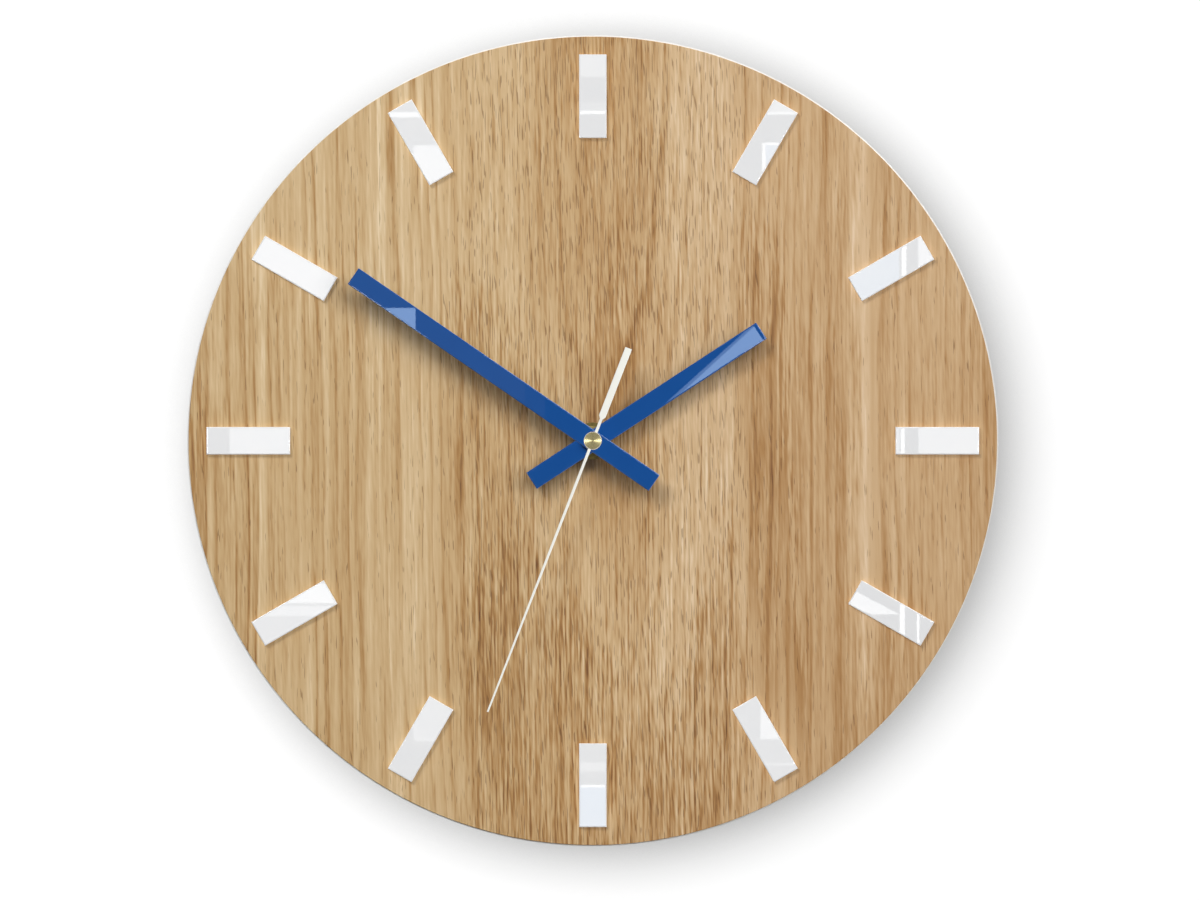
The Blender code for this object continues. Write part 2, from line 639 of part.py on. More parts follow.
def lug_places():
    """Middle heights of the snap lugs on each side of the movement."""
    middle = (PARTITION_TOP + CASE_TOP) / 2
    return [middle - LUG_SPACING / 2, middle + LUG_SPACING / 2]


def build_case():
    """Front shell with the gear space, battery bay, posts and bearing bosses."""
    outline = rounded_rectangle(-CASE_HALF_WIDTH, CASE_HALF_WIDTH, CASE_BOTTOM, CASE_TOP, CASE_CORNER_RADIUS)
    case = plate("movement_case", [outline], CASE_REAR, CASE_FRONT, BLACK_PLASTIC)
    below = CASE_REAR - COVER_THICKNESS
    inner = INNER_HALF_WIDTH
    gear_space = (-inner, inner, PARTITION_TOP, CASE_TOP - CASE_WALL, below, FRONT_INNER)
    battery_bay = (-inner, inner, BAY_BOTTOM, BAY_TOP, below, BAY_FRONT)
    combine(case, blocks("case_hollows", [gear_space, battery_bay]), "DIFFERENCE")
    slot_width = CONTACT_THICKNESS + 2 * SEAT_GAP
    slot_levels = (below, CASE_REAR + CONTACT_HEIGHT + 2 * SEAT_GAP)
    slot_rows = (BAY_TOP - SEAT_GAP, PARTITION_TOP + SEAT_GAP)
    left_slot = (-inner, -inner + slot_width, *slot_rows, *slot_levels)
    right_slot = (inner - slot_width, inner, *slot_rows, *slot_levels)
    lug_top = COVER_THICKNESS + LUG_HEIGHT
    hook_levels = (lug_top - LUG_HOOK - SEAT_GAP, lug_top + SEAT_GAP)
    cuts = [left_slot, right_slot]
    for place in lug_places():
        rows = (place - LUG_WIDTH / 2 - SEAT_GAP, place + LUG_WIDTH / 2 + SEAT_GAP)
        cuts.append((inner - SEAT_GAP, CASE_HALF_WIDTH + SEAT_GAP, *rows, *hook_levels))
        cuts.append((-CASE_HALF_WIDTH - SEAT_GAP, SEAT_GAP - inner, *rows, *hook_levels))
    combine(case, blocks("case_windows", cuts), "DIFFERENCE")
    root = CASE_FRONT - FRONT_PLATE_THICKNESS / 2
    third_boss = THIRD_Z + WHEEL_THICKNESS + PINION_LENGTH + END_SHAKE
    knob_boss = MOTION_Z + WHEEL_THICKNESS + PINION_OVERRUN + END_SHAKE
    posts = [(place, SCREW_POST_RADIUS, POST_FOOT, root) for place in CORE_SCREWS + BRIDGE_SCREWS]
    posts.append((THIRD_AT, BEARING_BOSS_RADIUS, third_boss, root))
    posts.append((KNOB_AT, BEARING_BOSS_RADIUS, knob_boss, root))
    posts.append((MOTION_AT, POST_RADIUS, MOTION_Z - END_SHAKE, root))
    combine(case, rods("case_posts", posts), "UNION")
    screw_bore = SCREW_RADIUS + RUNNING_CLEARANCE
    pivot_bore = PIVOT_RADIUS + RUNNING_CLEARANCE
    grip = POST_FOOT + SCREW_GRIP + 2 * SEAT_GAP
    bores = [(place, screw_bore, POST_FOOT - SEAT_GAP, grip) for place in CORE_SCREWS + BRIDGE_SCREWS]
    depth = PIVOT_DEPTH + 2 * END_SHAKE
    bores.append((THIRD_AT, pivot_bore, third_boss - SEAT_GAP, third_boss + depth))
    bores.append((KNOB_AT, pivot_bore, knob_boss - SEAT_GAP, knob_boss + depth))
    combine(case, rods("case_bores", bores), "DIFFERENCE")
    bush_radius = THREAD_RADIUS + RUNNING_CLEARANCE
    bush_hole = (CENTRE_AT, bush_radius, FRONT_INNER - SEAT_GAP, CASE_FRONT + SEAT_GAP)
    combine(case, rods("case_bush_hole", [bush_hole], facets=ROUND_FACETS), "DIFFERENCE")


def build_rear_cover():
    """Back plate with the battery opening, knob well, bearing bosses and snap lugs."""
    outline = rounded_rectangle(-CASE_HALF_WIDTH, CASE_HALF_WIDTH, CASE_BOTTOM, CASE_TOP, CASE_CORNER_RADIUS)
    opening_half = BATTERY_LENGTH / 2 + BATTERY_CLEARANCE
    opening = rectangle(-opening_half, opening_half, BAY_BOTTOM, BAY_TOP)
    cover = plate("rear_cover", [outline, opening], 0.0, COVER_THICKNESS, BLACK_PLASTIC)
    root = COVER_THICKNESS / 2
    well_floor = KNOB_RECESS + KNOB_THICKNESS + END_SHAKE
    well_bore = KNOB_RADIUS + WELL_CLEARANCE
    bearing_places = (CENTRE_AT, THIRD_AT, INTERMEDIATE_AT, ROTOR_AT)
    bosses = [(place, BEARING_BOSS_RADIUS, root, BEARING_TOP) for place in bearing_places]
    combine(cover, rods("cover_bosses", bosses), "UNION")
    well = [(KNOB_AT, well_bore + WELL_WALL, root, well_floor + WELL_WALL)]
    combine(cover, rods("cover_well", well, facets=FINE_FACETS), "UNION")
    lug_outer = INNER_HALF_WIDTH - SEAT_GAP
    lugs = []
    hooks = []
    for place in lug_places():
        rows = (place - LUG_WIDTH / 2, place + LUG_WIDTH / 2)
        top = COVER_THICKNESS + LUG_HEIGHT
        hook_foot = top - LUG_HOOK
        for side in (-1, 1):
            edges = sorted((side * lug_outer, side * (lug_outer - LUG_THICKNESS)))
            lugs.append((*edges, *rows, root, top))
            edges = sorted((side * (lug_outer + LUG_HOOK), side * (lug_outer - LUG_THICKNESS / 2)))
            hooks.append((*edges, *rows, hook_foot, top))
    combine(cover, blocks("cover_lugs", lugs), "UNION")
    combine(cover, blocks("cover_hooks", hooks), "UNION")
    well_hollow = (KNOB_AT, well_bore, -SEAT_GAP, well_floor)
    combine(cover, rods("cover_well_bore", [well_hollow], facets=FINE_FACETS), "DIFFERENCE")
    pivot_bore = PIVOT_RADIUS + RUNNING_CLEARANCE
    depth = PIVOT_DEPTH + 2 * END_SHAKE
    bores = [(place, pivot_bore, BEARING_TOP - depth, BEARING_TOP + SEAT_GAP) for place in bearing_places]
    knob_bore = KNOB_ARBOR_RADIUS + RUNNING_CLEARANCE
    bores.append((KNOB_AT, knob_bore, well_floor - SEAT_GAP, well_floor + WELL_WALL + SEAT_GAP))
    combine(cover, rods("cover_bores", bores), "DIFFERENCE")


def build_bridge():
    """Train bridge that carries the front pivots of the rotor and the intermediate wheel."""
    margin = BRIDGE_MARGIN
    left = min(INTERMEDIATE_AT.x, BRIDGE_SCREWS[0].x) - margin
    right = BRIDGE_SCREWS[1].x + margin
    bottom = INTERMEDIATE_AT.y - margin
    top = BRIDGE_SCREWS[0].y + margin
    pivot_bore = PIVOT_RADIUS + RUNNING_CLEARANCE
    screw_bore = SCREW_RADIUS + RUNNING_CLEARANCE
    loops = [rounded_rectangle(left, right, bottom, top, margin / 2)]
    loops += [circle(pivot_bore, SMALL_FACETS, place) for place in (INTERMEDIATE_AT, ROTOR_AT)]
    loops += [circle(screw_bore, SMALL_FACETS, place) for place in BRIDGE_SCREWS]
    plate("train_bridge", loops, BRIDGE_Z, BRIDGE_Z + BRIDGE_THICKNESS, WHITE_PLASTIC)


def build_screws():
    """Slotted screws that hold the bridge, stator and coil core to the case posts."""
    head_front = STATOR_Z - SEAT_GAP
    head_rear = head_front - SCREW_HEAD_HEIGHT
    shank = (SCREW_RADIUS, head_front, POST_FOOT + SCREW_GRIP)
    head = (SCREW_HEAD_RADIUS, head_rear, head_front)
    for number, place in enumerate(CORE_SCREWS + BRIDGE_SCREWS, start=1):
        screw = spindle(f"plate_screw_{number}", [shank, head], STEEL, place)
        half = SCREW_SLOT / 2
        reach = SCREW_HEAD_RADIUS + SEAT_GAP
        slot = (-reach, reach, -half, half, head_rear - SEAT_GAP, head_rear + SCREW_HEAD_HEIGHT / 2)
        tool = blocks(f"screw_slot_{number}", [slot])
        tool.location = (place.x, place.y, 0.0)
        combine(screw, tool, "DIFFERENCE")


# Wheel train


def gear_outline(teeth, module, phase):
    """Trapezoid teeth, with one tooth's middle at the phase angle."""
    pitch = 2 * math.pi / teeth
    root = module * (teeth / 2 - DEDENDUM)
    tip = module * (teeth / 2 + ADDENDUM)
    rising = [(root, -TOOTH_ROOT_SHARE), (tip, -TOOTH_TIP_SHARE)]
    corners = rising + [(tip, TOOTH_TIP_SHARE), (root, TOOTH_ROOT_SHARE)]
    points = []
    for tooth in range(teeth):
        for radius, share in corners:
            angle = phase + pitch * (tooth + share / 2)
            points.append((radius * math.cos(angle), radius * math.sin(angle)))
    return points


def meshing_phase(driver_at, driver_teeth, driver_phase, at, teeth):
    """Phase that puts a gap of one gear against a tooth of its neighbour."""
    line = math.atan2(at[1] - driver_at[1], at[0] - driver_at[0])
    lead = driver_phase - line
    return line + math.pi + math.pi / teeth - lead * driver_teeth / teeth


def wheel_and_pinion(name, at, wheel, pinion, level, material, body, bore=None):
    """Wheel with its pinion in front and a turned body, joined into one moulding."""
    teeth, module, phase = wheel
    front = level + WHEEL_THICKNESS
    part = plate(name, [gear_outline(teeth, module, phase)], level, front, material, at)
    if pinion:
        leaves, leaf_module, leaf_phase = pinion
        outline = gear_outline(leaves, leaf_module, leaf_phase)
        middle = level + WHEEL_THICKNESS / 2
        combine(part, plate(name + "_leaves", [outline], middle, front + PINION_LENGTH, at=at), "UNION")
    combine(part, body, "UNION")
    if bore:
        radius, rear, end = bore
        combine(part, rods(name + "_bore", [(at, radius, rear - SEAT_GAP, end + SEAT_GAP)]), "DIFFERENCE")
    return part


def rear_pivot(top):
    """Pivot in the cover's bearing and the shoulder above it, as spindle steps."""
    return [(ARBOR_RADIUS, SHOULDER_Z, top), (PIVOT_RADIUS, BEARING_TOP - PIVOT_DEPTH, SHOULDER_Z)]


def build_train():
    """Rotor to hands: every wheel in mesh with its neighbour at rest."""
    seconds_phase = 0.0
    third_phase = meshing_phase(CENTRE_AT, SECONDS_PINION_TEETH, seconds_phase, THIRD_AT, THIRD_TEETH)
    minute_phase = meshing_phase(THIRD_AT, THIRD_PINION_TEETH, 0.0, CENTRE_AT, MINUTE_TEETH)
    motion_phase = meshing_phase(CENTRE_AT, MINUTE_PINION_TEETH, 0.0, MOTION_AT, MOTION_TEETH)
    hour_phase = meshing_phase(MOTION_AT, MOTION_PINION_TEETH, 0.0, CENTRE_AT, HOUR_TEETH)
    knob_phase = meshing_phase(MOTION_AT, MOTION_TEETH, motion_phase, KNOB_AT, KNOB_PINION_TEETH)
    inner_pinion = (INTERMEDIATE_AT, INTERMEDIATE_PINION_TEETH)
    inner_phase = meshing_phase(CENTRE_AT, SECONDS_TEETH, seconds_phase, *inner_pinion)
    rotor_phase = meshing_phase(INTERMEDIATE_AT, INTERMEDIATE_TEETH, 0.0, ROTOR_AT, ROTOR_PINION_TEETH)
    build_rotor(rotor_phase)
    middle = INTERMEDIATE_Z + WHEEL_THICKNESS / 2
    bridge_pivot = (PIVOT_RADIUS, middle, BRIDGE_Z + BRIDGE_THICKNESS)
    arbor = spindle("intermediate_arbor", [bridge_pivot, *rear_pivot(middle)], at=INTERMEDIATE_AT)
    wheel = (INTERMEDIATE_TEETH, ROTOR_MODULE, 0.0)
    pinion = (INTERMEDIATE_PINION_TEETH, SECONDS_MODULE, inner_phase)
    name = "intermediate_wheel"
    wheel_and_pinion(name, INTERMEDIATE_AT, wheel, pinion, INTERMEDIATE_Z, WHITE_PLASTIC, arbor)
    build_seconds(seconds_phase)
    middle = THIRD_Z + WHEEL_THICKNESS / 2
    pivot_front = THIRD_Z + WHEEL_THICKNESS + PINION_LENGTH + END_SHAKE + PIVOT_DEPTH
    arbor = spindle("third_arbor", [(PIVOT_RADIUS, middle, pivot_front), *rear_pivot(middle)], at=THIRD_AT)
    wheel = (THIRD_TEETH, THIRD_MODULE, third_phase)
    pinion = (THIRD_PINION_TEETH, MINUTE_MODULE, 0.0)
    wheel_and_pinion("third_wheel", THIRD_AT, wheel, pinion, THIRD_Z, WHITE_PLASTIC, arbor)
    tube_end = MINUTE_HAND_FRONT - SEAT_GAP
    tube_rear = MINUTE_Z + WHEEL_THICKNESS + PINION_LENGTH - PINION_OVERRUN / 2
    tube = rods("minute_tube", [(CENTRE_AT, MINUTE_TUBE, tube_rear, tube_end)], facets=ROUND_FACETS)
    wheel = (MINUTE_TEETH, MINUTE_MODULE, minute_phase)
    pinion = (MINUTE_PINION_TEETH, MOTION_MODULE, 0.0)
    bore = (MINUTE_BORE, MINUTE_Z, tube_end)
    wheel_and_pinion("minute_wheel", CENTRE_AT, wheel, pinion, MINUTE_Z, BRASS, tube, bore)
    wheel = (MOTION_TEETH, MOTION_MODULE, motion_phase)
    pinion = (MOTION_PINION_TEETH, HOUR_MODULE, 0.0)
    collar_radius = HOUR_MODULE * (MOTION_PINION_TEETH / 2 - DEDENDUM) - RUNNING_CLEARANCE
    motion_front = MOTION_Z + WHEEL_THICKNESS + PINION_LENGTH
    collar_levels = (MOTION_Z + WHEEL_THICKNESS / 2, motion_front + END_SHAKE)
    collar = rods("motion_collar", [(MOTION_AT, collar_radius, *collar_levels)])
    bore = (POST_RADIUS + RUNNING_CLEARANCE, MOTION_Z, motion_front + END_SHAKE)
    wheel_and_pinion("motion_wheel", MOTION_AT, wheel, pinion, MOTION_Z, WHITE_PLASTIC, collar, bore)
    tube_end = HOUR_HAND_FRONT - SEAT_GAP
    tube_rear = HOUR_Z + WHEEL_THICKNESS / 2
    tube = rods("hour_tube", [(CENTRE_AT, HOUR_TUBE, tube_rear, tube_end)], facets=ROUND_FACETS)
    wheel = (HOUR_TEETH, HOUR_MODULE, hour_phase)
    bore = (HOUR_BORE, HOUR_Z, tube_end)
    wheel_and_pinion("hour_wheel", CENTRE_AT, wheel, None, HOUR_Z, BRASS, tube, bore)
    build_knob(knob_phase)


def build_rotor(phase):
    """Two-pole magnet ring on a pinion arbor."""
    pinion_rear = INTERMEDIATE_Z - PINION_OVERRUN
    pinion_front = INTERMEDIATE_Z + WHEEL_THICKNESS + PINION_OVERRUN
    outline = gear_outline(ROTOR_PINION_TEETH, ROTOR_MODULE, phase)
    arbor = plate("rotor_arbor", [outline], pinion_rear, pinion_front, STEEL, ROTOR_AT)
    middle = (pinion_rear + pinion_front) / 2
    magnet_rear = MAGNET_TOP - ROTOR_MAGNET_THICKNESS
    steps = [(PIVOT_RADIUS, MAGNET_TOP, BRIDGE_Z + BRIDGE_THICKNESS), (ARBOR_RADIUS, middle, MAGNET_TOP)]
    steps += [(PIVOT_RADIUS, BEARING_TOP - PIVOT_DEPTH, middle)]
    combine(arbor, spindle("rotor_spindle", steps, at=ROTOR_AT), "UNION")
    bore = ARBOR_RADIUS + RUNNING_CLEARANCE
    smooth(ring("rotor_magnet", bore, ROTOR_MAGNET_RADIUS, magnet_rear, MAGNET_TOP, FERRITE, ROTOR_AT))


def build_seconds(phase):
    """Steel arbor with its pinion leaves, and the seconds wheel pressed on its seat."""
    pinion_rear = SECONDS_Z + WHEEL_THICKNESS + GLUE_LINE
    pinion_front = SECONDS_Z + WHEEL_THICKNESS + PINION_LENGTH
    outline = gear_outline(SECONDS_PINION_TEETH, THIRD_MODULE, phase)
    arbor = plate("seconds_arbor", [outline], pinion_rear, pinion_front, STEEL)
    middle = (pinion_rear + pinion_front) / 2
    steps = [(SECONDS_ARBOR_RADIUS, middle, BOSS_HEAD_Z - SEAT_GAP), *rear_pivot(middle)]
    combine(arbor, spindle("seconds_spindle", steps), "UNION")
    seat = circle(ARBOR_RADIUS + RUNNING_CLEARANCE, SMALL_FACETS)
    loops = [gear_outline(SECONDS_TEETH, SECONDS_MODULE, phase), seat]
    plate("seconds_wheel", loops, SECONDS_Z, SECONDS_Z + WHEEL_THICKNESS, WHITE_PLASTIC)


def build_knob(phase):
    """Setting knob: disc with a grip rib, its arbor and the pinion that turns the motion wheel."""
    pinion_rear = MOTION_Z - PINION_OVERRUN
    pinion_front = MOTION_Z + WHEEL_THICKNESS + PINION_OVERRUN
    outline = gear_outline(KNOB_PINION_TEETH, MOTION_MODULE, phase)
    knob = plate("setting_knob", [outline], pinion_rear, pinion_front, WHITE_PLASTIC, KNOB_AT)
    middle = (pinion_rear + pinion_front) / 2
    disc_front = KNOB_RECESS + KNOB_THICKNESS
    steps = [(PIVOT_RADIUS, middle, pinion_front + END_SHAKE + PIVOT_DEPTH)]
    steps += [(KNOB_ARBOR_RADIUS, disc_front, middle), (KNOB_RADIUS, KNOB_RECESS, disc_front)]
    combine(knob, spindle("knob_spindle", steps, at=KNOB_AT, facets=FINE_FACETS), "UNION")
    half_rib = KNOB_GRIP_WIDTH / 2
    scoop_floor = KNOB_RECESS + KNOB_GRIP_DEPTH
    reach = KNOB_RADIUS - WELL_WALL
    rest = (-reach / 2, reach / 2, KNOB_RECESS - SEAT_GAP, scoop_floor)
    scoops = [(half_rib, reach, *rest), (-reach, -half_rib, *rest)]
    tool = blocks("knob_scoops", scoops)
    tool.location = (KNOB_AT.x, KNOB_AT.y, 0.0)
    combine(knob, tool, "DIFFERENCE")


# Stepping motor


def bar_between(name, start, end, width, rear, front):
    """Flat bar of a width between two places."""
    way = (end - start).normalized()
    side = mathutils.Vector((-way.y, way.x)) * (width / 2)
    corners = [start - side, end - side, end + side, start + side]
    return plate(name, [[tuple(corner) for corner in corners]], rear, front)


def build_motor():
    """Stator plate, coil core, bobbin and winding."""
    front = STATOR_Z + LAMINATION_THICKNESS
    stator = plate("stator_plate", [circle(STATOR_RING, ROUND_FACETS, ROTOR_AT)], STATOR_Z, front, IRON)
    arm_top = COIL_Y + STATOR_ARM_WIDTH / 2
    levels = (STATOR_Z, front)
    left_foot = NECK_FOOT.y - STATOR_NECK_WIDTH / 2
    left_arm = (STATOR_LEFT, STATOR_LEFT + STATOR_ARM_WIDTH, left_foot, arm_top, *levels)
    right_foot = ROTOR_AT.y - STATOR_NECK_WIDTH / 2
    right_arm = (STATOR_RIGHT - STATOR_ARM_WIDTH, STATOR_RIGHT, right_foot, arm_top, *levels)
    right_neck = (ROTOR_AT.x, STATOR_RIGHT, right_foot, ROTOR_AT.y + STATOR_NECK_WIDTH / 2, *levels)
    combine(stator, bar_between("stator_neck", ROTOR_AT, NECK_FOOT, STATOR_NECK_WIDTH, *levels), "UNION")
    combine(stator, blocks("stator_left_arm", [left_arm]), "UNION")
    combine(stator, blocks("stator_right_arm", [right_arm]), "UNION")
    combine(stator, blocks("stator_right_neck", [right_neck]), "UNION")
    clear = (STATOR_Z - SEAT_GAP, front + SEAT_GAP)
    rotor_hole = [(ROTOR_AT, STATOR_HOLE, *clear)]
    combine(stator, rods("stator_rotor_hole", rotor_hole, facets=ROUND_FACETS), "DIFFERENCE")
    screw_bore = SCREW_RADIUS + RUNNING_CLEARANCE
    holes = [(place, screw_bore, *clear) for place in CORE_SCREWS + BRIDGE_SCREWS]
    combine(stator, rods("stator_screw_holes", holes), "DIFFERENCE")
    core_half = CORE_WIDTH / 2
    core_edge = rectangle(STATOR_LEFT, STATOR_RIGHT, COIL_Y - core_half, COIL_Y + core_half)
    core_loops = [core_edge] + [circle(screw_bore, SMALL_FACETS, place) for place in CORE_SCREWS]
    plate("coil_core", core_loops, COIL_Z, COIL_Z + LAMINATION_THICKNESS, IRON)
    build_coil()


def build_coil():
    """Bobbin tube with square flanges round the core, and the winding between them."""
    middle_x = (STATOR_LEFT + STATOR_RIGHT) / 2
    middle_z = COIL_Z + LAMINATION_THICKNESS / 2
    left = middle_x - BOBBIN_LENGTH / 2
    right = middle_x + BOBBIN_LENGTH / 2
    flange = BOBBIN_WALL
    bore_y = CORE_WIDTH / 2 + SEAT_GAP
    bore_z = LAMINATION_THICKNESS / 2 + SEAT_GAP

    def sleeve(from_x, to_x, half_y, half_z):
        return from_x, to_x, COIL_Y - half_y, COIL_Y + half_y, middle_z - half_z, middle_z + half_z

    tube_y = bore_y + BOBBIN_WALL
    tube_z = bore_z + BOBBIN_WALL
    half_flange = BOBBIN_FLANGE / 2
    bobbin = blocks("coil_bobbin", [sleeve(left, left + flange, half_flange, half_flange)], WHITE_PLASTIC)
    far_flange = blocks("bobbin_far_flange", [sleeve(right - flange, right, half_flange, half_flange)])
    tube = blocks("bobbin_tube", [sleeve(left + flange / 2, right - flange / 2, tube_y, tube_z)])
    combine(bobbin, tube, "UNION")
    combine(bobbin, far_flange, "UNION")
    bore = blocks("bobbin_bore", [sleeve(left - SEAT_GAP, right + SEAT_GAP, bore_y, bore_z)])
    combine(bobbin, bore, "DIFFERENCE")
    inner_left = left + flange + SEAT_GAP
    inner_right = right - flange - SEAT_GAP
    wound = sleeve(inner_left, inner_right, tube_y + WINDING_DEPTH, tube_z + WINDING_DEPTH)
    winding = blocks("coil_winding", [wound], COPPER)
    chamfer(winding, WINDING_DEPTH / 2)
    hollow = sleeve(inner_left - SEAT_GAP, inner_right + SEAT_GAP, tube_y + GLUE_LINE, tube_z + GLUE_LINE)
    combine(winding, blocks("winding_hollow", [hollow]), "DIFFERENCE")


# Electronics and battery


def build_electronics():
    """Circuit board along the partition with its crystal and chip."""
    half_length = INNER_HALF_WIDTH - BOARD_END_ROOM
    bottom = PARTITION_TOP + SEAT_GAP
    rear = COVER_THICKNESS + SEAT_GAP
    front = rear + BOARD_THICKNESS
    edge = rectangle(-half_length, half_length, bottom, bottom + BOARD_WIDTH)
    plate("circuit_board", [edge], rear, front, BOARD_GREEN)
    middle_y = bottom + BOARD_WIDTH / 2
    can = spindle("quartz_crystal", [(CRYSTAL_RADIUS, -CRYSTAL_LENGTH / 2, CRYSTAL_LENGTH / 2)], STEEL)
    can.location = (CRYSTAL_FROM_END - half_length, middle_y, front + SEAT_GAP + CRYSTAL_RADIUS)
    can.rotation_euler = (0.0, math.pi / 2, 0.0)
    smooth(can)
    rise = [math.pi / 2 * i / CORNER_FACETS for i in range(CORNER_FACETS + 1)]
    chip_rear = front + SEAT_GAP
    dome = [(CHIP_RADIUS * math.sin(a), chip_rear + CHIP_HEIGHT * math.cos(a)) for a in rise]
    dome.append((0.0, chip_rear))
    chip_at = mathutils.Vector((half_length - CHIP_FROM_END, middle_y))
    smooth(turned("clock_chip", dome, FERRITE, chip_at, SMALL_FACETS))


def strip_outline(route, thickness):
    """Closed outline of a bent strip that follows a route of points, on the left of its way."""
    offset = []
    for i, point in enumerate(route):
        before = route[max(i - 1, 0)]
        after = route[min(i + 1, len(route) - 1)]
        way = (mathutils.Vector(after) - mathutils.Vector(before)).normalized()
        offset.append((point[0] - way.y * thickness, point[1] + way.x * thickness))
    return list(route) + offset[::-1]


def build_battery():
    """Cell with its positive nub on the right, and the two sprung contact strips."""
    left = -BATTERY_LENGTH / 2
    right = BATTERY_LENGTH / 2
    shoulder = right - BATTERY_NUB_LENGTH
    body_half = (shoulder - GLUE_LINE - left) / 2
    can = (BATTERY_DIAMETER / 2, -body_half, body_half)
    cell = spindle("battery_cell", [can], CELL_JACKET, facets=ROUND_FACETS)
    cell.location = (left + body_half, BATTERY_Y, BATTERY_Z)
    cell.rotation_euler = (0.0, math.pi / 2, 0.0)
    nub_half = BATTERY_NUB_LENGTH / 2
    nub = spindle("battery_terminal", [(BATTERY_NUB_RADIUS, -nub_half, nub_half)], STEEL)
    nub.location = (right - nub_half, BATTERY_Y, BATTERY_Z)
    nub.rotation_euler = (0.0, math.pi / 2, 0.0)
    for piece in (cell, nub):
        smooth(piece)
    wall = INNER_HALF_WIDTH - SEAT_GAP
    touch = BATTERY_LENGTH / 2 + SEAT_GAP + CONTACT_THICKNESS
    bow = BATTERY_DIAMETER / 4
    for name, side in (("contact_positive", 1), ("contact_negative", -1)):
        heights = [PARTITION_TOP + CONTACT_REACH_UP, BATTERY_Y + bow, BATTERY_Y, BATTERY_Y - bow]
        outs = [wall, wall, touch, wall]
        route = [(side * out, height) for out, height in zip(outs, heights)]
        outline = strip_outline(route, -side * CONTACT_THICKNESS)
        rear = CASE_REAR + SEAT_GAP
        plate(name, [outline], rear, rear + CONTACT_HEIGHT, BRASS)


build_dial()
build_hands()
build_fixings()
build_case()
build_rear_cover()
build_bridge()
build_screws()
build_train()
build_motor()
build_electronics()
build_battery()
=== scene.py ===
"""Looks of the round oak wall clock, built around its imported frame.

World frame in metres: X runs to three o'clock, Z to twelve, the wall is the plane Y = 0 and the dial
faces -Y. A level is a distance out of the wall, so a point at that level has Y = -level.
"""

import math

import bmesh
import bpy
import numpy as np
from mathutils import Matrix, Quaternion, Vector


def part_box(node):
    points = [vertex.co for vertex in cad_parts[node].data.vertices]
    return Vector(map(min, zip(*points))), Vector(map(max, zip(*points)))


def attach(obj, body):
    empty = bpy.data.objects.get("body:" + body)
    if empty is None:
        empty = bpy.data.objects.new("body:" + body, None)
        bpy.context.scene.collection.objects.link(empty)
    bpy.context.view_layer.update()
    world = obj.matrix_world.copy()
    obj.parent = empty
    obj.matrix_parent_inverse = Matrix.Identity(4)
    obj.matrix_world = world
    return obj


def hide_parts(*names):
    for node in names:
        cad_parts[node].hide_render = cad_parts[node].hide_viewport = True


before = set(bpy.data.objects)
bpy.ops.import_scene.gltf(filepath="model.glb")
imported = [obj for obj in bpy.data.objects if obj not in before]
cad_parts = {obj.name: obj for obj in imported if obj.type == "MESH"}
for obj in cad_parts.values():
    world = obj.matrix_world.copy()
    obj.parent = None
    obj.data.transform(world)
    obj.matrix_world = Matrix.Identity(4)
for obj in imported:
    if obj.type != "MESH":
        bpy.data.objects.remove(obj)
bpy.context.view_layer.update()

# The photograph's frame in pixels, and the dial in it
IMAGE_WIDTH = 1200
IMAGE_HEIGHT = 900
DIAL_CENTRE = (592.8, 440.8)
DIAL_RADIUS = 405.5

# Camera: far enough away for the photograph's nearly parallel view
CAMERA_DISTANCE = 2.4
SENSOR_WIDTH = 36.0
CLIP_NEAR = 0.05
CLIP_FAR = 50.0

# Hands as they stand in the photograph, in degrees clockwise from twelve
HOUR_ANGLE = 56.84
MINUTE_ANGLE = 304.5
SECOND_ANGLE = 201.2
HAND_WIDTH = 0.0079
HOUR_REACH = 0.0817
HOUR_TAIL = 0.0297
MINUTE_REACH = 0.1178
MINUTE_TAIL = 0.0302

# Second hand: needle, hub and counterweight, and how square its section is (0 is a rectangle, 1 an ellipse)
SECOND_REACH = 0.1177
SECOND_TAIL = 0.0402
NEEDLE_TIP_WIDTH = 0.00075
NEEDLE_ROOT_WIDTH = 0.0012
COUNTERWEIGHT_WIDTH = 0.00286
COUNTERWEIGHT_START = 0.0094
COUNTERWEIGHT_SHOULDER = 0.0012
SECOND_HUB_RADIUS = 0.0025
SECTION_POWER = 0.22

# Bores and tubes of the centre stack
SHAFT_HOLE = 0.0042
THREAD_RADIUS = 0.0039
THREAD_PITCH = 0.00075
THREAD_DEPTH = 0.0003
BUSH_BORE = 0.00255
BUSH_FLANGE_THICKNESS = 0.001
HOUR_TUBE = 0.00245
MINUTE_TUBE = 0.00165
HAND_BUSH_WALL = 0.0006
HAND_FLANGE_THICKNESS = 0.0008
FIT = 0.0001
BOSS_BORE = 0.0006
BOSS_TUBE = 0.0011
BOSS_HEIGHT = 0.001
BOSS_RIM = 0.0004

# Hexagon nut: the share of the flats' width that its crown keeps, its chamfer and the lip of its bore
NUT_CROWN = 0.96
NUT_CHAMFER = math.radians(30.0)
NUT_LIP = 0.0004

# Hour bars
MARKER_COUNT = 12
MARKER_LENGTH = 0.034
MARKER_WIDTH = 0.0112
MARKER_EDGE_MARGIN = 0.0079

# Movement and dry cell: the band of the cell's sleeve is in millimetres along X
PLATE_SCREWS = 4
CELL_LIP = 0.0005
CELL_BAND_START = 13.5
CELL_BAND_EDGE = 0.15

# Rounded edges. A flat starts to shade flat at the support, in fillets from its corner, and a bar's face
# begins some edges in from its outline.
ACRYLIC_EDGE = 0.00035
BOARD_EDGE = 0.00012
METAL_EDGE = 0.00018
MOULDED_EDGE = 0.00022
FILLET_SUPPORT = 1.5
BAR_FACE_START = 3.0

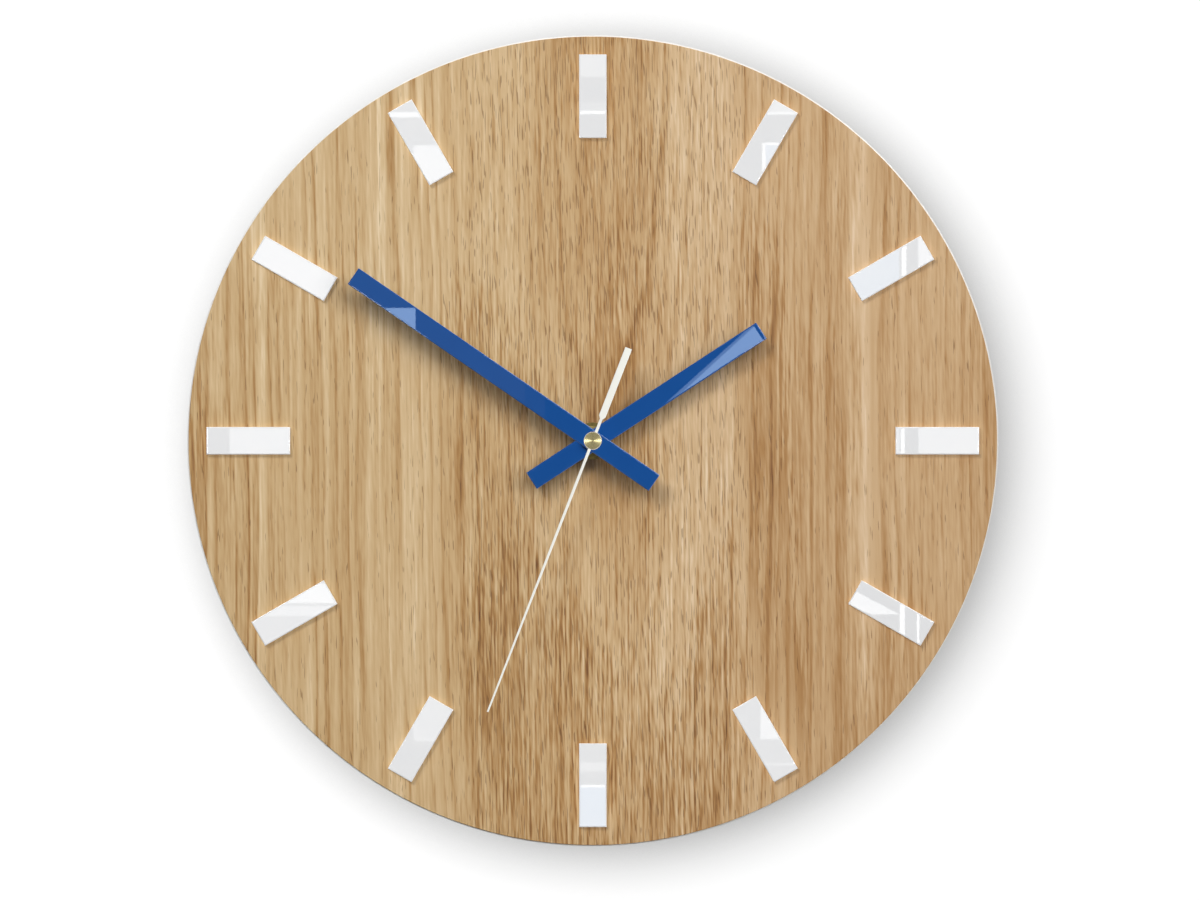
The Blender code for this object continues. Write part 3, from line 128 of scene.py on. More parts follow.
# Mesh fineness
FILLET_STEPS = 4
BEVEL_STEPS = 2
DIAL_TURNS = 288
HUB_TURNS = 96
THREAD_STEPS = 8
BAR_RAYS = 72
WEIGHT_POINTS = 24
SHOULDER_POINTS = 6
HUB_POINTS = 25
NEEDLE_POINTS = 60
SECTION_POINTS = 24
BOSS_FACE_POINTS = 24
BOSS_RIM_POINTS = 8
MERGE_DISTANCE = 1e-7
FLAT_ANGLE = math.radians(0.5)
SHARP_ANGLE = math.radians(40.0)
MILLIMETRE = 1000.0


# Mesh tools


def levels(node):
    """Rear and front level of a CAD node."""
    low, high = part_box(node)
    return -high.y, -low.y


def outer_radius(node):
    """Radius of a round CAD node about the clock's axis."""
    low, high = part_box(node)
    return (high.x - low.x) / 2


def stand(across, up, level):
    """Points in the world from arrays of across, up and level, on their last axis."""
    across, up, level = np.broadcast_arrays(across, up, level)
    return np.stack([across, -level, up], axis=-1)


def turned_by(across, along, degrees):
    """Turn plan coordinates clockwise: along points at the angle, across to its right."""
    angle = math.radians(degrees)
    x = across * math.cos(angle) + along * math.sin(angle)
    z = along * math.cos(angle) - across * math.sin(angle)
    return x, z


def full_turn(count):
    """Angles in even steps round a full turn."""
    return np.linspace(0.0, 2 * math.pi, count, endpoint=False)


def grid_faces(rows, columns, closed_rows):
    """Quads that join each point of a grid to the next row and column. The columns always close on
    themselves, and the rows where asked."""
    row = np.arange(rows if closed_rows else rows - 1)
    r, c = np.meshgrid(row, np.arange(columns), indexing="ij")
    r_next = (r + 1) % rows
    c_next = (c + 1) % columns
    quads = [r * columns + c, r * columns + c_next, r_next * columns + c_next, r_next * columns + c]
    return np.stack(quads, axis=-1).reshape(-1, 4).tolist()


def filleted(corners, fillets):
    """Section with rounded corners: each corner becomes a quadratic curve that starts one fillet before
    it and ends one fillet after it, with a support point further along each side so that the flats
    shade flat."""
    corners = np.asarray(corners, float)
    fillets = np.asarray(fillets, float)[:, None]
    back = np.roll(corners, 1, axis=0) - corners
    ahead = np.roll(corners, -1, axis=0) - corners
    back_length = np.linalg.norm(back, axis=1, keepdims=True)
    ahead_length = np.linalg.norm(ahead, axis=1, keepdims=True)
    start = corners + back / back_length * fillets
    end = corners + ahead / ahead_length * fillets
    t = np.linspace(0.0, 1.0, FILLET_STEPS + 1)[None, :, None]
    arc = (1 - t) ** 2 * start[:, None] + 2 * t * (1 - t) * corners[:, None] + t**2 * end[:, None]
    support = fillets * FILLET_SUPPORT
    before = corners + back / back_length * np.minimum(support, back_length / 2)
    after = corners + ahead / ahead_length * np.minimum(support, ahead_length / 2)
    return np.concatenate([before[:, None], arc, after[:, None]], axis=1).reshape(-1, 2)


def loft(rows, closed_rows=True):
    """Surface through rows of points, each row a closed loop; open ends get a flat cap."""
    count, columns = rows.shape[:2]
    faces = grid_faces(count, columns, closed_rows)
    if not closed_rows:
        faces.append(list(range(columns)))
        faces.append(list(range((count - 1) * columns, count * columns)))
    return rows.reshape(-1, 3), faces


def turned(section, turns=HUB_TURNS):
    """Surface of revolution: each (radius, level) of a closed section goes round the clock's axis."""
    section = np.asarray(section, float)
    angle = full_turn(turns)
    radius = section[:, :1]
    return loft(stand(radius * np.sin(angle), radius * np.cos(angle), section[:, 1:]))


def flat_ring(node, edges, turns=HUB_TURNS):
    """Ring in a flat CAD node's place round the shaft hole: a rectangle's section with a fillet at each
    corner, turned about the clock's axis."""
    rear, front = levels(node)
    radius = outer_radius(node)
    corners = [(SHAFT_HOLE, rear), (radius, rear), (radius, front), (SHAFT_HOLE, front)]
    return turned(filleted(corners, edges), turns)


def bar_outline(half_width, tail, reach):
    """Rectangle met by rays from its origin: the ray at angle a ends at 1 / max(|cos a| / half width,
    sin a / reach, -sin a / tail). The corners' own angles are among the rays."""
    even = np.linspace(-math.pi, math.pi, BAR_RAYS, endpoint=False)
    corners = [math.atan2(y, x) for y in (reach, -tail) for x in (half_width, -half_width)]
    angle = np.unique(np.concatenate([even, corners]))
    ends = np.maximum(np.sin(angle) / reach, -np.sin(angle) / tail)
    slow = np.maximum(np.abs(np.cos(angle)) / half_width, ends)
    return np.cos(angle) / slow, np.sin(angle) / slow, angle


def bar(half_width, tail, reach, rear, front, edge, degrees, hole=0.0, offset=0.0):
    """Flat bar with rounded edges, its origin offset along the angle. Each step of the edge's section is
    the outline drawn in by the step's inset; a hole closes the section, and without one both faces are
    capped."""
    across, along, angle = bar_outline(half_width, tail, reach)
    inside = edge * BAR_FACE_START
    corners = [(inside, rear), (0.0, rear), (0.0, front), (inside, front)]
    section = filleted(corners, [0.0, edge, edge, 0.0])
    inset = section[:, :1]
    rows_across = np.clip(across, -half_width + inset, half_width - inset)
    rows_along = np.clip(along, -tail + inset, reach - inset)
    level = section[:, 1:]
    if hole:
        rim_across = hole * np.cos(angle)[None, :]
        rim_along = hole * np.sin(angle)[None, :]
        rows_across = np.concatenate([rim_across, rows_across, rim_across])
        rows_along = np.concatenate([rim_along, rows_along, rim_along])
        level = np.concatenate([[[rear]], level, [[front]]])
    x, z = turned_by(rows_across, rows_along + offset, degrees)
    return loft(stand(x, z, level), closed_rows=bool(hole))


def put(name, data):
    """New object in the scene, at the origin."""
    made = bpy.data.objects.new(name, data)
    bpy.context.scene.collection.objects.link(made)
    return made


def weld(mesh):
    """Merge doubles, drop what they leave empty and point the faces outwards."""
    work = bmesh.new()
    work.from_mesh(mesh)
    bmesh.ops.remove_doubles(work, verts=work.verts, dist=MERGE_DISTANCE)
    bmesh.ops.dissolve_degenerate(work, edges=work.edges, dist=MERGE_DISTANCE)
    bmesh.ops.recalc_face_normals(work, faces=work.faces)
    work.to_mesh(mesh)
    work.free()


def dress(piece, finish, body, slot, *nodes):
    """Give a piece its finish and body, and hide the CAD nodes that it stands for. The slot is not used."""
    piece.data.materials.clear()
    piece.data.materials.append(finish)
    piece.data.shade_smooth()
    piece.data.set_sharp_from_angle(angle=SHARP_ANGLE)
    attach(piece, body)
    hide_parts(*nodes)


def make_piece(name, surface, finish, body, slot, *nodes):
    """Mesh object from (points, faces), welded, facing outwards and smooth up to its sharp edges. It
    rides on a body and stands for its CAD nodes."""
    points, faces = surface
    mesh = bpy.data.meshes.new(name)
    mesh.from_pydata(points.tolist(), [], faces)
    weld(mesh)
    piece = put(name, mesh)
    dress(piece, finish, body, slot, *nodes)
    return piece


def softened(node, name, edge, finish, body, slot):
    """Copy of a CAD node's moulding, welded, with its flat faces whole and its sharp edges rounded by a
    bevel. The copied corner normals are dropped, since they belong to the faces before welding."""
    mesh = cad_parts[node].data.copy()
    mesh.name = name
    mesh.attributes.remove(mesh.attributes["custom_normal"])
    work = bmesh.new()
    work.from_mesh(mesh)
    bmesh.ops.remove_doubles(work, verts=work.verts, dist=MERGE_DISTANCE)
    bmesh.ops.dissolve_limit(work, angle_limit=FLAT_ANGLE, verts=work.verts, edges=work.edges)
    work.to_mesh(mesh)
    work.free()
    piece = put(name, mesh)
    dress(piece, finish, body, slot, node)
    bevel = piece.modifiers.new("rounded_edges", "BEVEL")
    bevel.width = edge
    bevel.segments = BEVEL_STEPS
    bevel.limit_method = "ANGLE"
    bevel.angle_limit = SHARP_ANGLE
    bevel.harden_normals = True


# Finishes

# Roughness: how far wear moves it in all, and the polished, smeared and sawn shares of acrylic. An edge
# counts as sawn as the outward share of its normal falls through the sawn stretch.
WEAR_SWING = 0.2
POLISH_ROUGHNESS = 0.002
SMEAR_ROUGHNESS = 0.008
SAWN_ROUGHNESS = 0.3
SAWN_EDGE = (0.95, 0.5)

# Metals: the stretch of noise that turns to tarnish, how long a scratch is for its width, the turned
# cap's tool marks to a millimetre and the outward shares between which its face takes its rim's painted
# highlight
TARNISH_EDGE = (0.3, 0.7)
SCRATCH_STRETCH = 6.0
CAP_RINGS = 9.0
CAP_RIM_HIGHLIGHT_EDGE = (0.99, 0.9)


def srgb(red, green, blue):
    """Linear colour of an 8-bit screen colour."""
    share = np.array([red, green, blue]) / 255.0
    linear = np.where(share <= 0.04045, share / 12.92, ((share + 0.055) / 1.055) ** 2.4)
    return (*linear.tolist(), 1.0)


class NodeTree:
    """Short calls that add nodes to a tree."""

    def __init__(self, tree):
        """Take the tree to work on."""
        self.tree = tree

    def feed(self, socket, value):
        """Link a socket's value, or set it."""
        if isinstance(value, bpy.types.NodeSocket):
            self.tree.links.new(value, socket)
        else:
            socket.default_value = value

    def node(self, kind, inputs, **settings):
        """Add a node with its settings and inputs, given by name or number."""
        made = self.tree.nodes.new(kind)
        for setting, value in settings.items():
            setattr(made, setting, value)
        for socket, value in inputs.items():
            self.feed(made.inputs[socket], value)
        return made

    def split(self, vector):
        """The three coordinates of a place or a direction."""
        return self.node("ShaderNodeSeparateXYZ", {0: vector}).outputs

    def maths(self, operation, first, second=0.0, third=0.0):
        """One step of arithmetic."""
        return self.node("ShaderNodeMath", {0: first, 1: second, 2: third}, operation=operation).outputs[0]

    def between(self, value, low, high, easing="SMOOTHSTEP"):
        """Share of the way from low to high, eased at both ends unless asked otherwise."""
        inputs = {"Value": value, "From Min": low, "From Max": high}
        return self.node("ShaderNodeMapRange", inputs, interpolation_type=easing).outputs[0]

    def blend(self, share, first, second):
        """Mix two numbers."""
        return self.node("ShaderNodeMix", {0: share, 2: first, 3: second}).outputs[0]


class Finish(NodeTree):
    """A material, with short calls for the nodes that the finishes share."""

    def __init__(self, name, roughness=0.5, metallic=0.0, **sockets):
        """New material with constants on its shader's sockets, whose names have _ for a space."""
        self.material = bpy.data.materials.new(name)
        self.material.use_nodes = True
        super().__init__(self.material.node_tree)
        self.shader = self.tree.nodes["Principled BSDF"]
        self.plain_roughness = roughness
        self.roughness(roughness)
        self.shader.inputs["Metallic"].default_value = metallic
        for socket, value in sockets.items():
            self.shader.inputs[socket.replace("_", " ")].default_value = value

    def place(self):
        """Object coordinates in millimetres."""
        coordinates = self.tree.nodes.new("ShaderNodeTexCoord").outputs["Object"]
        return self.stretch(coordinates, 1 / MILLIMETRE, 1 / MILLIMETRE, 1 / MILLIMETRE)

    def stretch(self, vector, width, depth, length):
        """Scale a place so that a pattern of unit size gets this width, depth and length."""
        scale = (1 / width, 1 / depth, 1 / length)
        return self.node("ShaderNodeMapping", {"Vector": vector, "Scale": scale}).outputs[0]

    def join(self, across, depth, up):
        """A place from its three coordinates."""
        return self.node("ShaderNodeCombineXYZ", {0: across, 1: depth, 2: up}).outputs[0]

    def outward(self):
        """Share of the surface's normal that lies along the clock's axis."""
        normal = self.tree.nodes.new("ShaderNodeNewGeometry").outputs["Normal"]
        return self.maths("ABSOLUTE", self.split(normal)[1])

    def total(self, *values):
        """Sum of several values."""
        result = values[0]
        for value in values[1:]:
            result = self.maths("ADD", result, value)
        return result

    def distance(self, across, along):
        """Root of the sum of two squares."""
        squares = [self.maths("MULTIPLY", value, value) for value in (across, along)]
        return self.maths("SQRT", self.total(*squares))

    def noise(self, vector, detail=2.0, roughness=0.5):
        """Smooth noise of unit size, about 0.5."""
        inputs = {"Vector": vector, "Scale": 1.0, "Detail": detail, "Roughness": roughness}
        return self.node("ShaderNodeTexNoise", inputs).outputs[0]

    def grain(self, vector, width, length, **settings):
        """Noise drawn out along Z: as deep as it is wide, and of a length, in millimetres."""
        return self.noise(self.stretch(vector, width, width, length), **settings)

    def line_noise(self, value, detail=1.0):
        """Smooth noise along one number."""
        inputs = {"W": value, "Scale": 1.0, "Detail": detail}
        return self.node("ShaderNodeTexNoise", inputs, noise_dimensions="1D").outputs[0]

    def swing(self, value, size):
        """A value about 0.5 turned into a swing of a size about nought."""
        return self.maths("MULTIPLY", self.maths("SUBTRACT", value, 0.5), size)

    def within(self, value, start, end):
        """Share that comes in over the stretch of start and goes out over that of end."""
        return self.maths("MULTIPLY", self.between(value, *start), self.between(value, *end))

    def ramp(self, value, stops):
        """Colour or level along a list of (position, colour or level)."""
        node = self.node("ShaderNodeValToRGB", {0: value})
        marks = node.color_ramp.elements
        for number, (position, colour) in enumerate(stops):
            mark = marks[number] if number < len(marks) else marks.new(position)
            mark.position = position
            mark.color = colour if isinstance(colour, tuple) else (colour, colour, colour, 1.0)
        return node.outputs[0]

    def mix(self, share, first, second, blend="MIX"):
        """Mix two colours."""
        inputs = {0: share, 6: first, 7: second}
        return self.node("ShaderNodeMix", inputs, data_type="RGBA", blend_type=blend).outputs[2]

    def colour(self, value):
        """Give the surface its colour."""
        self.feed(self.shader.inputs["Base Color"], value)

    def roughness(self, value):
        """Give the surface its roughness."""
        self.feed(self.shader.inputs["Roughness"], value)

    def worn(self, pattern):
        """Let the roughness swing about its plain level with a pattern about 0.5."""
        self.roughness(self.maths("ADD", self.swing(pattern, WEAR_SWING), self.plain_roughness))

    def bump(self, height, distance, strength):
        """Surface relief, with its height in metres."""
        inputs = {"Height": height, "Distance": distance, "Strength": strength}
        self.feed(self.shader.inputs["Normal"], self.node("ShaderNodeBump", inputs).outputs[0])


# Oak: the pith line that the rings are centred on, in millimetres from the dial's centre, the rings'
# width and drift, their tone from early to late wood, and how strongly they show
PITH_ACROSS = 6.0
PITH_DEPTH = 24.0
PITH_LEAN = 0.09
RING_WIDTH = 5.0
RING_DRIFT = 13.0
RING_DRIFT_SHARE = 2.2
RING_TONES = [(0.0, 0.4), (0.07, 0.0), (0.25, 0.55), (0.9, 1.0), (1.0, 0.4)]
RING_MEAN = 0.6
RING_STRENGTH = 0.06
RING_STRENGTH_SPREAD = 0.20
STRAIGHT_RING_GAIN = 0.7

# Oak: stretches across and up the face, in millimetres, over which each kind of figure comes in or goes out
STRAIGHT_GRAIN = (-48.0, -76.0)
FLAT_SAWN_LEFT = (-66.0, -42.0)
FLAT_SAWN_RIGHT = (85.0, 45.0)
RIGHT_GRAIN_LEFT = (68.0, 82.0)
RIGHT_GRAIN_RIGHT = (150.0, 118.0)
RIGHT_GRAIN_SHARE = 0.55
LOW_DOWN = (150.0, -150.0)
TINT_SPAN = (-120.0, 120.0)

# Oak: fibres as layers of width, length and strength, the slant that keeps them out of rows, and their
# share of the tone; the comb of fine dark lines, where it breaks off and its share; and the pores
FIBRE_LAYERS = [(0.95, 42, 0.6), (0.88, 15, 0.55), (0.82, 5.5, 0.4)]
FIBRE_SLIP = 4.0
FIBRE_SHARE = 0.4
FLAT_FIBRE_SHARE = 0.2
LOW_FIBRE_SHARE = 0.35
FIBRE_ROUGHNESS = 0.18
FIBRE_RELIEF = 0.4
COMB_PITCH = 2.1
COMB_BREAK = (0.36, 0.64)
COMB_SHARE = 0.02
LOW_COMB_SHARE = 0.07
EARLY_PORES = 0.05
FLAT_SAWN_PORES = 0.095
PORE_EDGE = (0.735, 0.805)
PORE_DEPTH = 0.65
OAK_ROUGHNESS = 0.42
OAK_TONE = 0.505

OAK_SHADES = [
    (0.00, srgb(122, 78, 34)),
    (0.25, srgb(166, 123, 69)),
    (0.50, srgb(193, 159, 112)),
    (0.75, srgb(209, 180, 138)),
    (1.00, srgb(228, 205, 170)),
]
OAK_PORE = (0.42, 0.34, 0.24, 1.0)
OAK_TINTS = [
    (0.0, (0.985, 1.0, 0.99, 1.0)),
    (0.5, (1.0, 0.99, 0.985, 1.0)),
    (1.0, (1.0, 0.985, 1.04, 1.0)),
]

# Regions of lighter and darker wood that follow the fibres. Each lies between two leaning lines: place
# and lean of its left line, place and lean of its right line, softness of the two, lower and upper end
# and the change of tone, with lengths in millimetres from the dial's centre. The fibres fray their sides
# and ends.
OAK_REGIONS = [
    (-175, 0.00, -148, 0.00, 5, -200, 20, -0.13),
    (-152, 0.00, -138, 0.00, 5, -200, -20, -0.05),
    (-142, 0.00, -76, 0.00, 10, 55, 200, 0.10),
    (-140, 0.00, -122, 0.00, 8, -60, 200, 0.05),
    (-101, 0.01, -93, 0.01, 3, -200, 80, -0.09),
    (-84, -0.01, -62, 0.00, 4, -200, 200, 0.10),
    (-62, 0.00, -26, 0.00, 5, 45, 200, 0.11),
    (-62, 0.00, -26, -0.10, 3, -130, 50, -0.08),
    (-50, 0.00, -38, 0.00, 3, -125, -55, -0.08),
    (-52, 0.00, -40, 0.00, 4, -45, 5, 0.05),
    (-40, 0.00, -28, 0.00, 3, -95, -55, -0.08),
    (-38, 0.00, -4, 0.00, 6, -200, -130, -0.06),
    (-27, 0.00, -16, 0.00, 3, -75, -25, 0.08),
    (-26, -0.02, 12, -0.10, 4, 70, 135, -0.06),
    (22, 0.00, 58, 0.00, 5, 118, 200, 0.08),
    (-46, 0.00, -3, -0.03, 6, -200, -80, -0.05),
    (-17, 0.02, -4, -0.02, 3, -115, -68, -0.09),
    (20, -0.24, 21, 0.03, 3, 20, 200, -0.10),
    (-3, 0.03, 21, -0.03, 4, -28, 58, -0.19),
    (8, 0.00, 22, 0.00, 3, -62, -28, -0.07),
    (-4, 0.00, 17, -0.08, 4, -200, -100, -0.07),
    (31, 0.02, 60, 0.00, 5, -40, 200, 0.13),
    (22, 0.00, 52, 0.00, 6, 22, 62, -0.07),
    (18, -0.08, 67, 0.30, 3, -130, -40, 0.12),
    (24, 0.00, 58, 0.00, 5, -200, -130, -0.13),
    (66, 0.30, 58, 0.00, 3, -130, -55, -0.06),
    (61, -0.06, 80, -0.06, 2, -110, 72, -0.17),
    (78, -0.03, 99, -0.02, 6, -200, 30, -0.08),
    (96, -0.01, 106, -0.01, 3, -200, 100, -0.08),
    (108, -0.01, 114, -0.01, 2, -95, 200, 0.16),
    (117, -0.02, 121, -0.01, 2, -200, 200, -0.06),
    (106, 0.00, 142, 0.00, 7, -200, -85, -0.07),
    (130, 0.00, 146, 0.00, 6, -70, 10, -0.05),
    (147, 0.00, 175, 0.00, 6, -200, 60, -0.10),
]
REGION_FADE = 24.0
REGION_SIDE_FRAY = 5.0
REGION_END_FRAY = 90.0
REGION_WANDER = 0.3


def oak_finish():
    """Flat-sawn oak. The ring radius at a point is its distance from the leaning pith line,
    sqrt(across^2 + depth^2), with both terms bent by slow noise and ragged along the fibres. The radius
    over the ring width gives the place in a ring; early wood is dark and full of pores. Short fibres lie
    over the flat-sawn middle, long straight ones at the left and right, and broad regions of tone under
    both."""
    oak = Finish("oak_face", Specular_IOR_Level=0.3)
    place = oak.place()
    across, depth, up = oak.split(place)
    slid = oak.join(across, depth, oak.maths("MULTIPLY_ADD", across, FIBRE_SLIP, up))
    wander = oak.swing(oak.grain(place, width=70, length=170), size=14.0)
    ripple = oak.swing(oak.grain(place, width=13, length=70, detail=1.0), size=3.0)
    ragged = oak.swing(oak.grain(slid, width=1.1, length=34, detail=1.0), size=6.0)
    swell = oak.swing(oak.grain(place, width=45, length=90, detail=1.0), size=12.0)
    bent = oak.total(across, -PITH_ACROSS, wander, ripple)
    sunk = oak.total(oak.maths("MULTIPLY", up, -PITH_LEAN), PITH_DEPTH, ragged, swell)
    radius = oak.distance(bent, sunk)
    drift = oak.line_noise(oak.maths("DIVIDE", radius, RING_DRIFT))
    rings = oak.maths("DIVIDE", radius, RING_WIDTH)
    phase = oak.maths("MULTIPLY_ADD", drift, RING_DRIFT_SHARE, rings)
    ring = oak.ramp(oak.maths("FRACT", phase), RING_TONES)
    ring_number = oak.maths("FLOOR", phase)
    ring_chance = oak.node("ShaderNodeTexWhiteNoise", {"W": ring_number}, noise_dimensions="1D").outputs[0]
    ring_strength = oak.maths("MULTIPLY_ADD", ring_chance, RING_STRENGTH_SPREAD, RING_STRENGTH)

    straight = oak.between(across, *STRAIGHT_GRAIN)
    flat_sawn = oak.within(across, FLAT_SAWN_LEFT, FLAT_SAWN_RIGHT)
    right_grain = oak.within(across, RIGHT_GRAIN_LEFT, RIGHT_GRAIN_RIGHT)
    long_lines = oak.maths("MULTIPLY_ADD", right_grain, RIGHT_GRAIN_SHARE, straight)
    low_down = oak.between(up, *LOW_DOWN)
    layers = [(oak.grain(slid, width, length, detail=0.0), size) for width, length, size in FIBRE_LAYERS]
    fibre = oak.total(*[oak.swing(layer, size) for layer, size in layers])
    sway = oak.swing(oak.grain(place, width=7, length=60, detail=1.0), size=3.0)
    comb_turn = oak.maths("MULTIPLY", oak.maths("ADD", across, sway), 2 * math.pi / COMB_PITCH)
    broken = oak.between(oak.grain(slid, width=1.5, length=11, detail=1.0), *COMB_BREAK)
    comb = oak.maths("MULTIPLY", oak.maths("SINE", comb_turn), broken)
    comb_share = oak.maths("MULTIPLY_ADD", low_down, LOW_COMB_SHARE, COMB_SHARE)
    strand = oak.grain(slid, width=3.2, length=30, detail=0.0)
    line = oak.grain(place, width=3.2, length=300, detail=1.0, roughness=0.6)
    blotch = oak.grain(place, width=22, length=60)
    flat_share = oak.maths("MULTIPLY_ADD", low_down, LOW_FIBRE_SHARE, FLAT_FIBRE_SHARE)
    fibre_share = oak.maths("MULTIPLY_ADD", flat_sawn, flat_share, FIBRE_SHARE)
    ring_share = oak.maths("MULTIPLY_ADD", straight, STRAIGHT_RING_GAIN, 1.0)
    ring_tone = oak.maths("MULTIPLY", oak.maths("SUBTRACT", ring, RING_MEAN), ring_strength)
    sides = oak.total(
        across,
        oak.swing(strand, size=REGION_SIDE_FRAY),
        oak.maths("MULTIPLY", fibre, REGION_SIDE_FRAY),
        oak.maths("MULTIPLY", wander, REGION_WANDER),
    )
    ends = oak.maths("MULTIPLY_ADD", fibre, REGION_END_FRAY, up)
    tone = oak.total(
        OAK_TONE,
        oak.maths("MULTIPLY", ring_tone, ring_share),
        oak.maths("MULTIPLY", fibre, fibre_share),
        oak.maths("MULTIPLY", oak.maths("MULTIPLY", comb, flat_sawn), comb_share),
        oak.swing(strand, size=0.12),
        oak.maths("MULTIPLY", oak.swing(line, size=0.85), long_lines),
        oak.swing(blotch, size=0.16),
        *[oak_region(oak, sides, ends, *region) for region in OAK_REGIONS],
    )
    tint = oak.ramp(oak.between(across, *TINT_SPAN), OAK_TINTS)
    shade = oak.mix(1.0, oak.ramp(tone, OAK_SHADES), tint, blend="MULTIPLY")

    dashes = oak.grain(slid, width=0.5, length=7, detail=0.0)
    rows = oak.grain(slid, width=1.7, length=55, detail=1.0)
    crowding = oak.total(
        oak.maths("MULTIPLY", oak.maths("SUBTRACT", 1.0, ring), EARLY_PORES),
        oak.maths("MULTIPLY", flat_sawn, FLAT_SAWN_PORES),
        oak.swing(rows, size=0.30),
    )
    pores = oak.between(oak.maths("ADD", dashes, crowding), *PORE_EDGE)
    oak.colour(oak.mix(oak.maths("MULTIPLY", pores, PORE_DEPTH), shade, OAK_PORE, blend="MULTIPLY"))
    oak.roughness(oak.maths("MULTIPLY_ADD", fibre, FIBRE_ROUGHNESS, OAK_ROUGHNESS))
    relief = oak.maths("SUBTRACT", oak.maths("MULTIPLY", fibre, FIBRE_RELIEF), pores)
    oak.bump(relief, distance=0.00006, strength=0.6)
    return oak.material


def oak_region(oak, across, up, left, left_lean, right, right_lean, soft, low, high, change):
    """Tone of one region: the change times how far a point is inside its left, right, lower and upper
    ends."""
    from_left = oak.maths("SUBTRACT", across, oak.maths("MULTIPLY_ADD", up, left_lean, left))
    from_right = oak.maths("SUBTRACT", oak.maths("MULTIPLY_ADD", up, right_lean, right), across)
    right_share = oak.between(from_right, -soft, soft)
    inside = oak.maths("MULTIPLY", oak.between(from_left, -soft, soft), right_share)
    begins = (low - REGION_FADE, low + REGION_FADE)
    stops = (high + REGION_FADE, high - REGION_FADE)
    tall = oak.within(up, begins, stops)
    return oak.maths("MULTIPLY", oak.maths("MULTIPLY", inside, tall), change)


def acrylic_finish(name, colour, deep_colour, frosted_edge_and_highlight_colour, pale_edge_start, pale_edge_end):
    """Polished cast acrylic: a faint cloud of tone, slight smears in the gloss, and paler rounded edges
    that come in as the face's outward share falls from the pale edge's start to its end. On the blue hands
    this is the frosted look of their sawn edges; on the white bars it is a painted highlight."""
    sheet = Finish(name, IOR=1.49)
    place = sheet.place()
    faced = sheet.mix(sheet.grain(place, width=9, length=9), colour, deep_colour)
    outward = sheet.outward()
    # Pale colour on the rounded edges: frosted cut on the blue hands, painted highlight on the white bars
    sheet.colour(sheet.mix(sheet.between(outward, pale_edge_start, pale_edge_end), faced, frosted_edge_and_highlight_colour))
    smear = sheet.grain(place, width=6, length=14, detail=3.0)
    gloss = sheet.maths("MULTIPLY_ADD", smear, SMEAR_ROUGHNESS, POLISH_ROUGHNESS)
    sawn = sheet.between(outward, *SAWN_EDGE)
    sheet.roughness(sheet.maths("MULTIPLY_ADD", sawn, SAWN_ROUGHNESS, gloss))
    return sheet.material


def board_finish():
    """White-faced fibre board: tiny pits and a faint fibre mottling."""
    board = Finish("white_board", roughness=0.55)
    place = board.place()
    mottle = board.grain(place, width=1.6, length=1.6, detail=4.0, roughness=0.65)
    board.colour(board.mix(mottle, srgb(236, 234, 229), srgb(248, 247, 244)))
    board.worn(mottle)
    pits = board.grain(place, width=0.35, length=0.35, detail=3.0)
    board.bump(pits, distance=0.00002, strength=0.4)
    return board.material


def paint_finish():
    """Pale enamel on the second hand, with a slight orange-peel."""
    paint = Finish("pale_enamel", roughness=0.35)
    place = paint.place()
    cloud = paint.grain(place, width=3, length=3)
    paint.colour(paint.mix(cloud, srgb(230, 230, 221), srgb(238, 238, 229)))
    paint.bump(paint.grain(place, width=0.4, length=0.4), distance=0.00001, strength=0.3)
    return paint.material


def metal_finish(name, light, dark, roughness, scratch=0.5):
    """Bare metal: clouds of tarnish between two tones, and scratches of a width in the gloss."""
    metal = Finish(name, roughness=roughness, metallic=1.0)
    place = metal.place()
    tarnish = metal.grain(place, width=2.5, length=2.5, detail=4.0, roughness=0.6)
    metal.colour(metal.mix(metal.between(tarnish, *TARNISH_EDGE), dark, light))
    metal.worn(metal.grain(place, scratch, scratch * SCRATCH_STRETCH, detail=3.0))
    return metal.material


def cap_finish():
    """Brass faced on a lathe: the tool marks run round the axis and draw the shine out along the radius,
    with a slight change of tone from ring to ring and a painted highlight in pale colour on its rim."""
    cap = Finish("turned_brass", roughness=0.27, metallic=1.0, Anisotropic=0.95, Anisotropic_Rotation=0.25)
    across, _, up = cap.split(cap.place())
    rings = cap.line_noise(cap.maths("MULTIPLY", cap.distance(across, up), CAP_RINGS), detail=2.0)
    face = cap.mix(rings, srgb(176, 162, 112), srgb(206, 194, 148))
    # Painted highlight: the rounded rim and sides are coloured near-white brass
    rim = cap.between(cap.outward(), *CAP_RIM_HIGHLIGHT_EDGE)
    cap.colour(cap.mix(rim, face, srgb(250, 244, 226)))
    marks = cap.node("ShaderNodeTangent", {}, direction_type="RADIAL", axis="Y")
    cap.feed(cap.shader.inputs["Tangent"], marks.outputs[0])
    return cap.material


def plastic_finish(name, light, dark, roughness, grain):
    """Moulded plastic: spark-eroded grain of a size in millimetres, and a faint flow of tone."""
    plastic = Finish(name, roughness=roughness)
    place = plastic.place()
    flow = plastic.grain(place, width=12, length=12, detail=3.0)
    plastic.colour(plastic.mix(flow, dark, light))
    pits = plastic.grain(place, grain, grain)
    plastic.worn(pits)
    plastic.bump(pits, distance=0.00003, strength=0.5)
    return plastic.material


def cell_finish():
    """Sleeve of the dry cell: dark, with a pale band at the nub end, under a clear lacquer with faint
    rubs along it."""
    cell = Finish("cell_jacket", roughness=0.3)
    place = cell.place()
    along = cell.split(place)[0]
    band = cell.between(along, CELL_BAND_START - CELL_BAND_EDGE, CELL_BAND_START + CELL_BAND_EDGE)
    flow = cell.grain(place, width=12, length=12, detail=3.0)
    sleeve = cell.mix(flow, srgb(62, 68, 78), srgb(76, 82, 92))
    pale = cell.mix(flow, srgb(192, 193, 192), srgb(206, 207, 206))
    cell.colour(cell.mix(band, sleeve, pale))
    cell.worn(cell.noise(cell.stretch(place, width=6, depth=0.8, length=0.8), detail=3.0))
    return cell.material


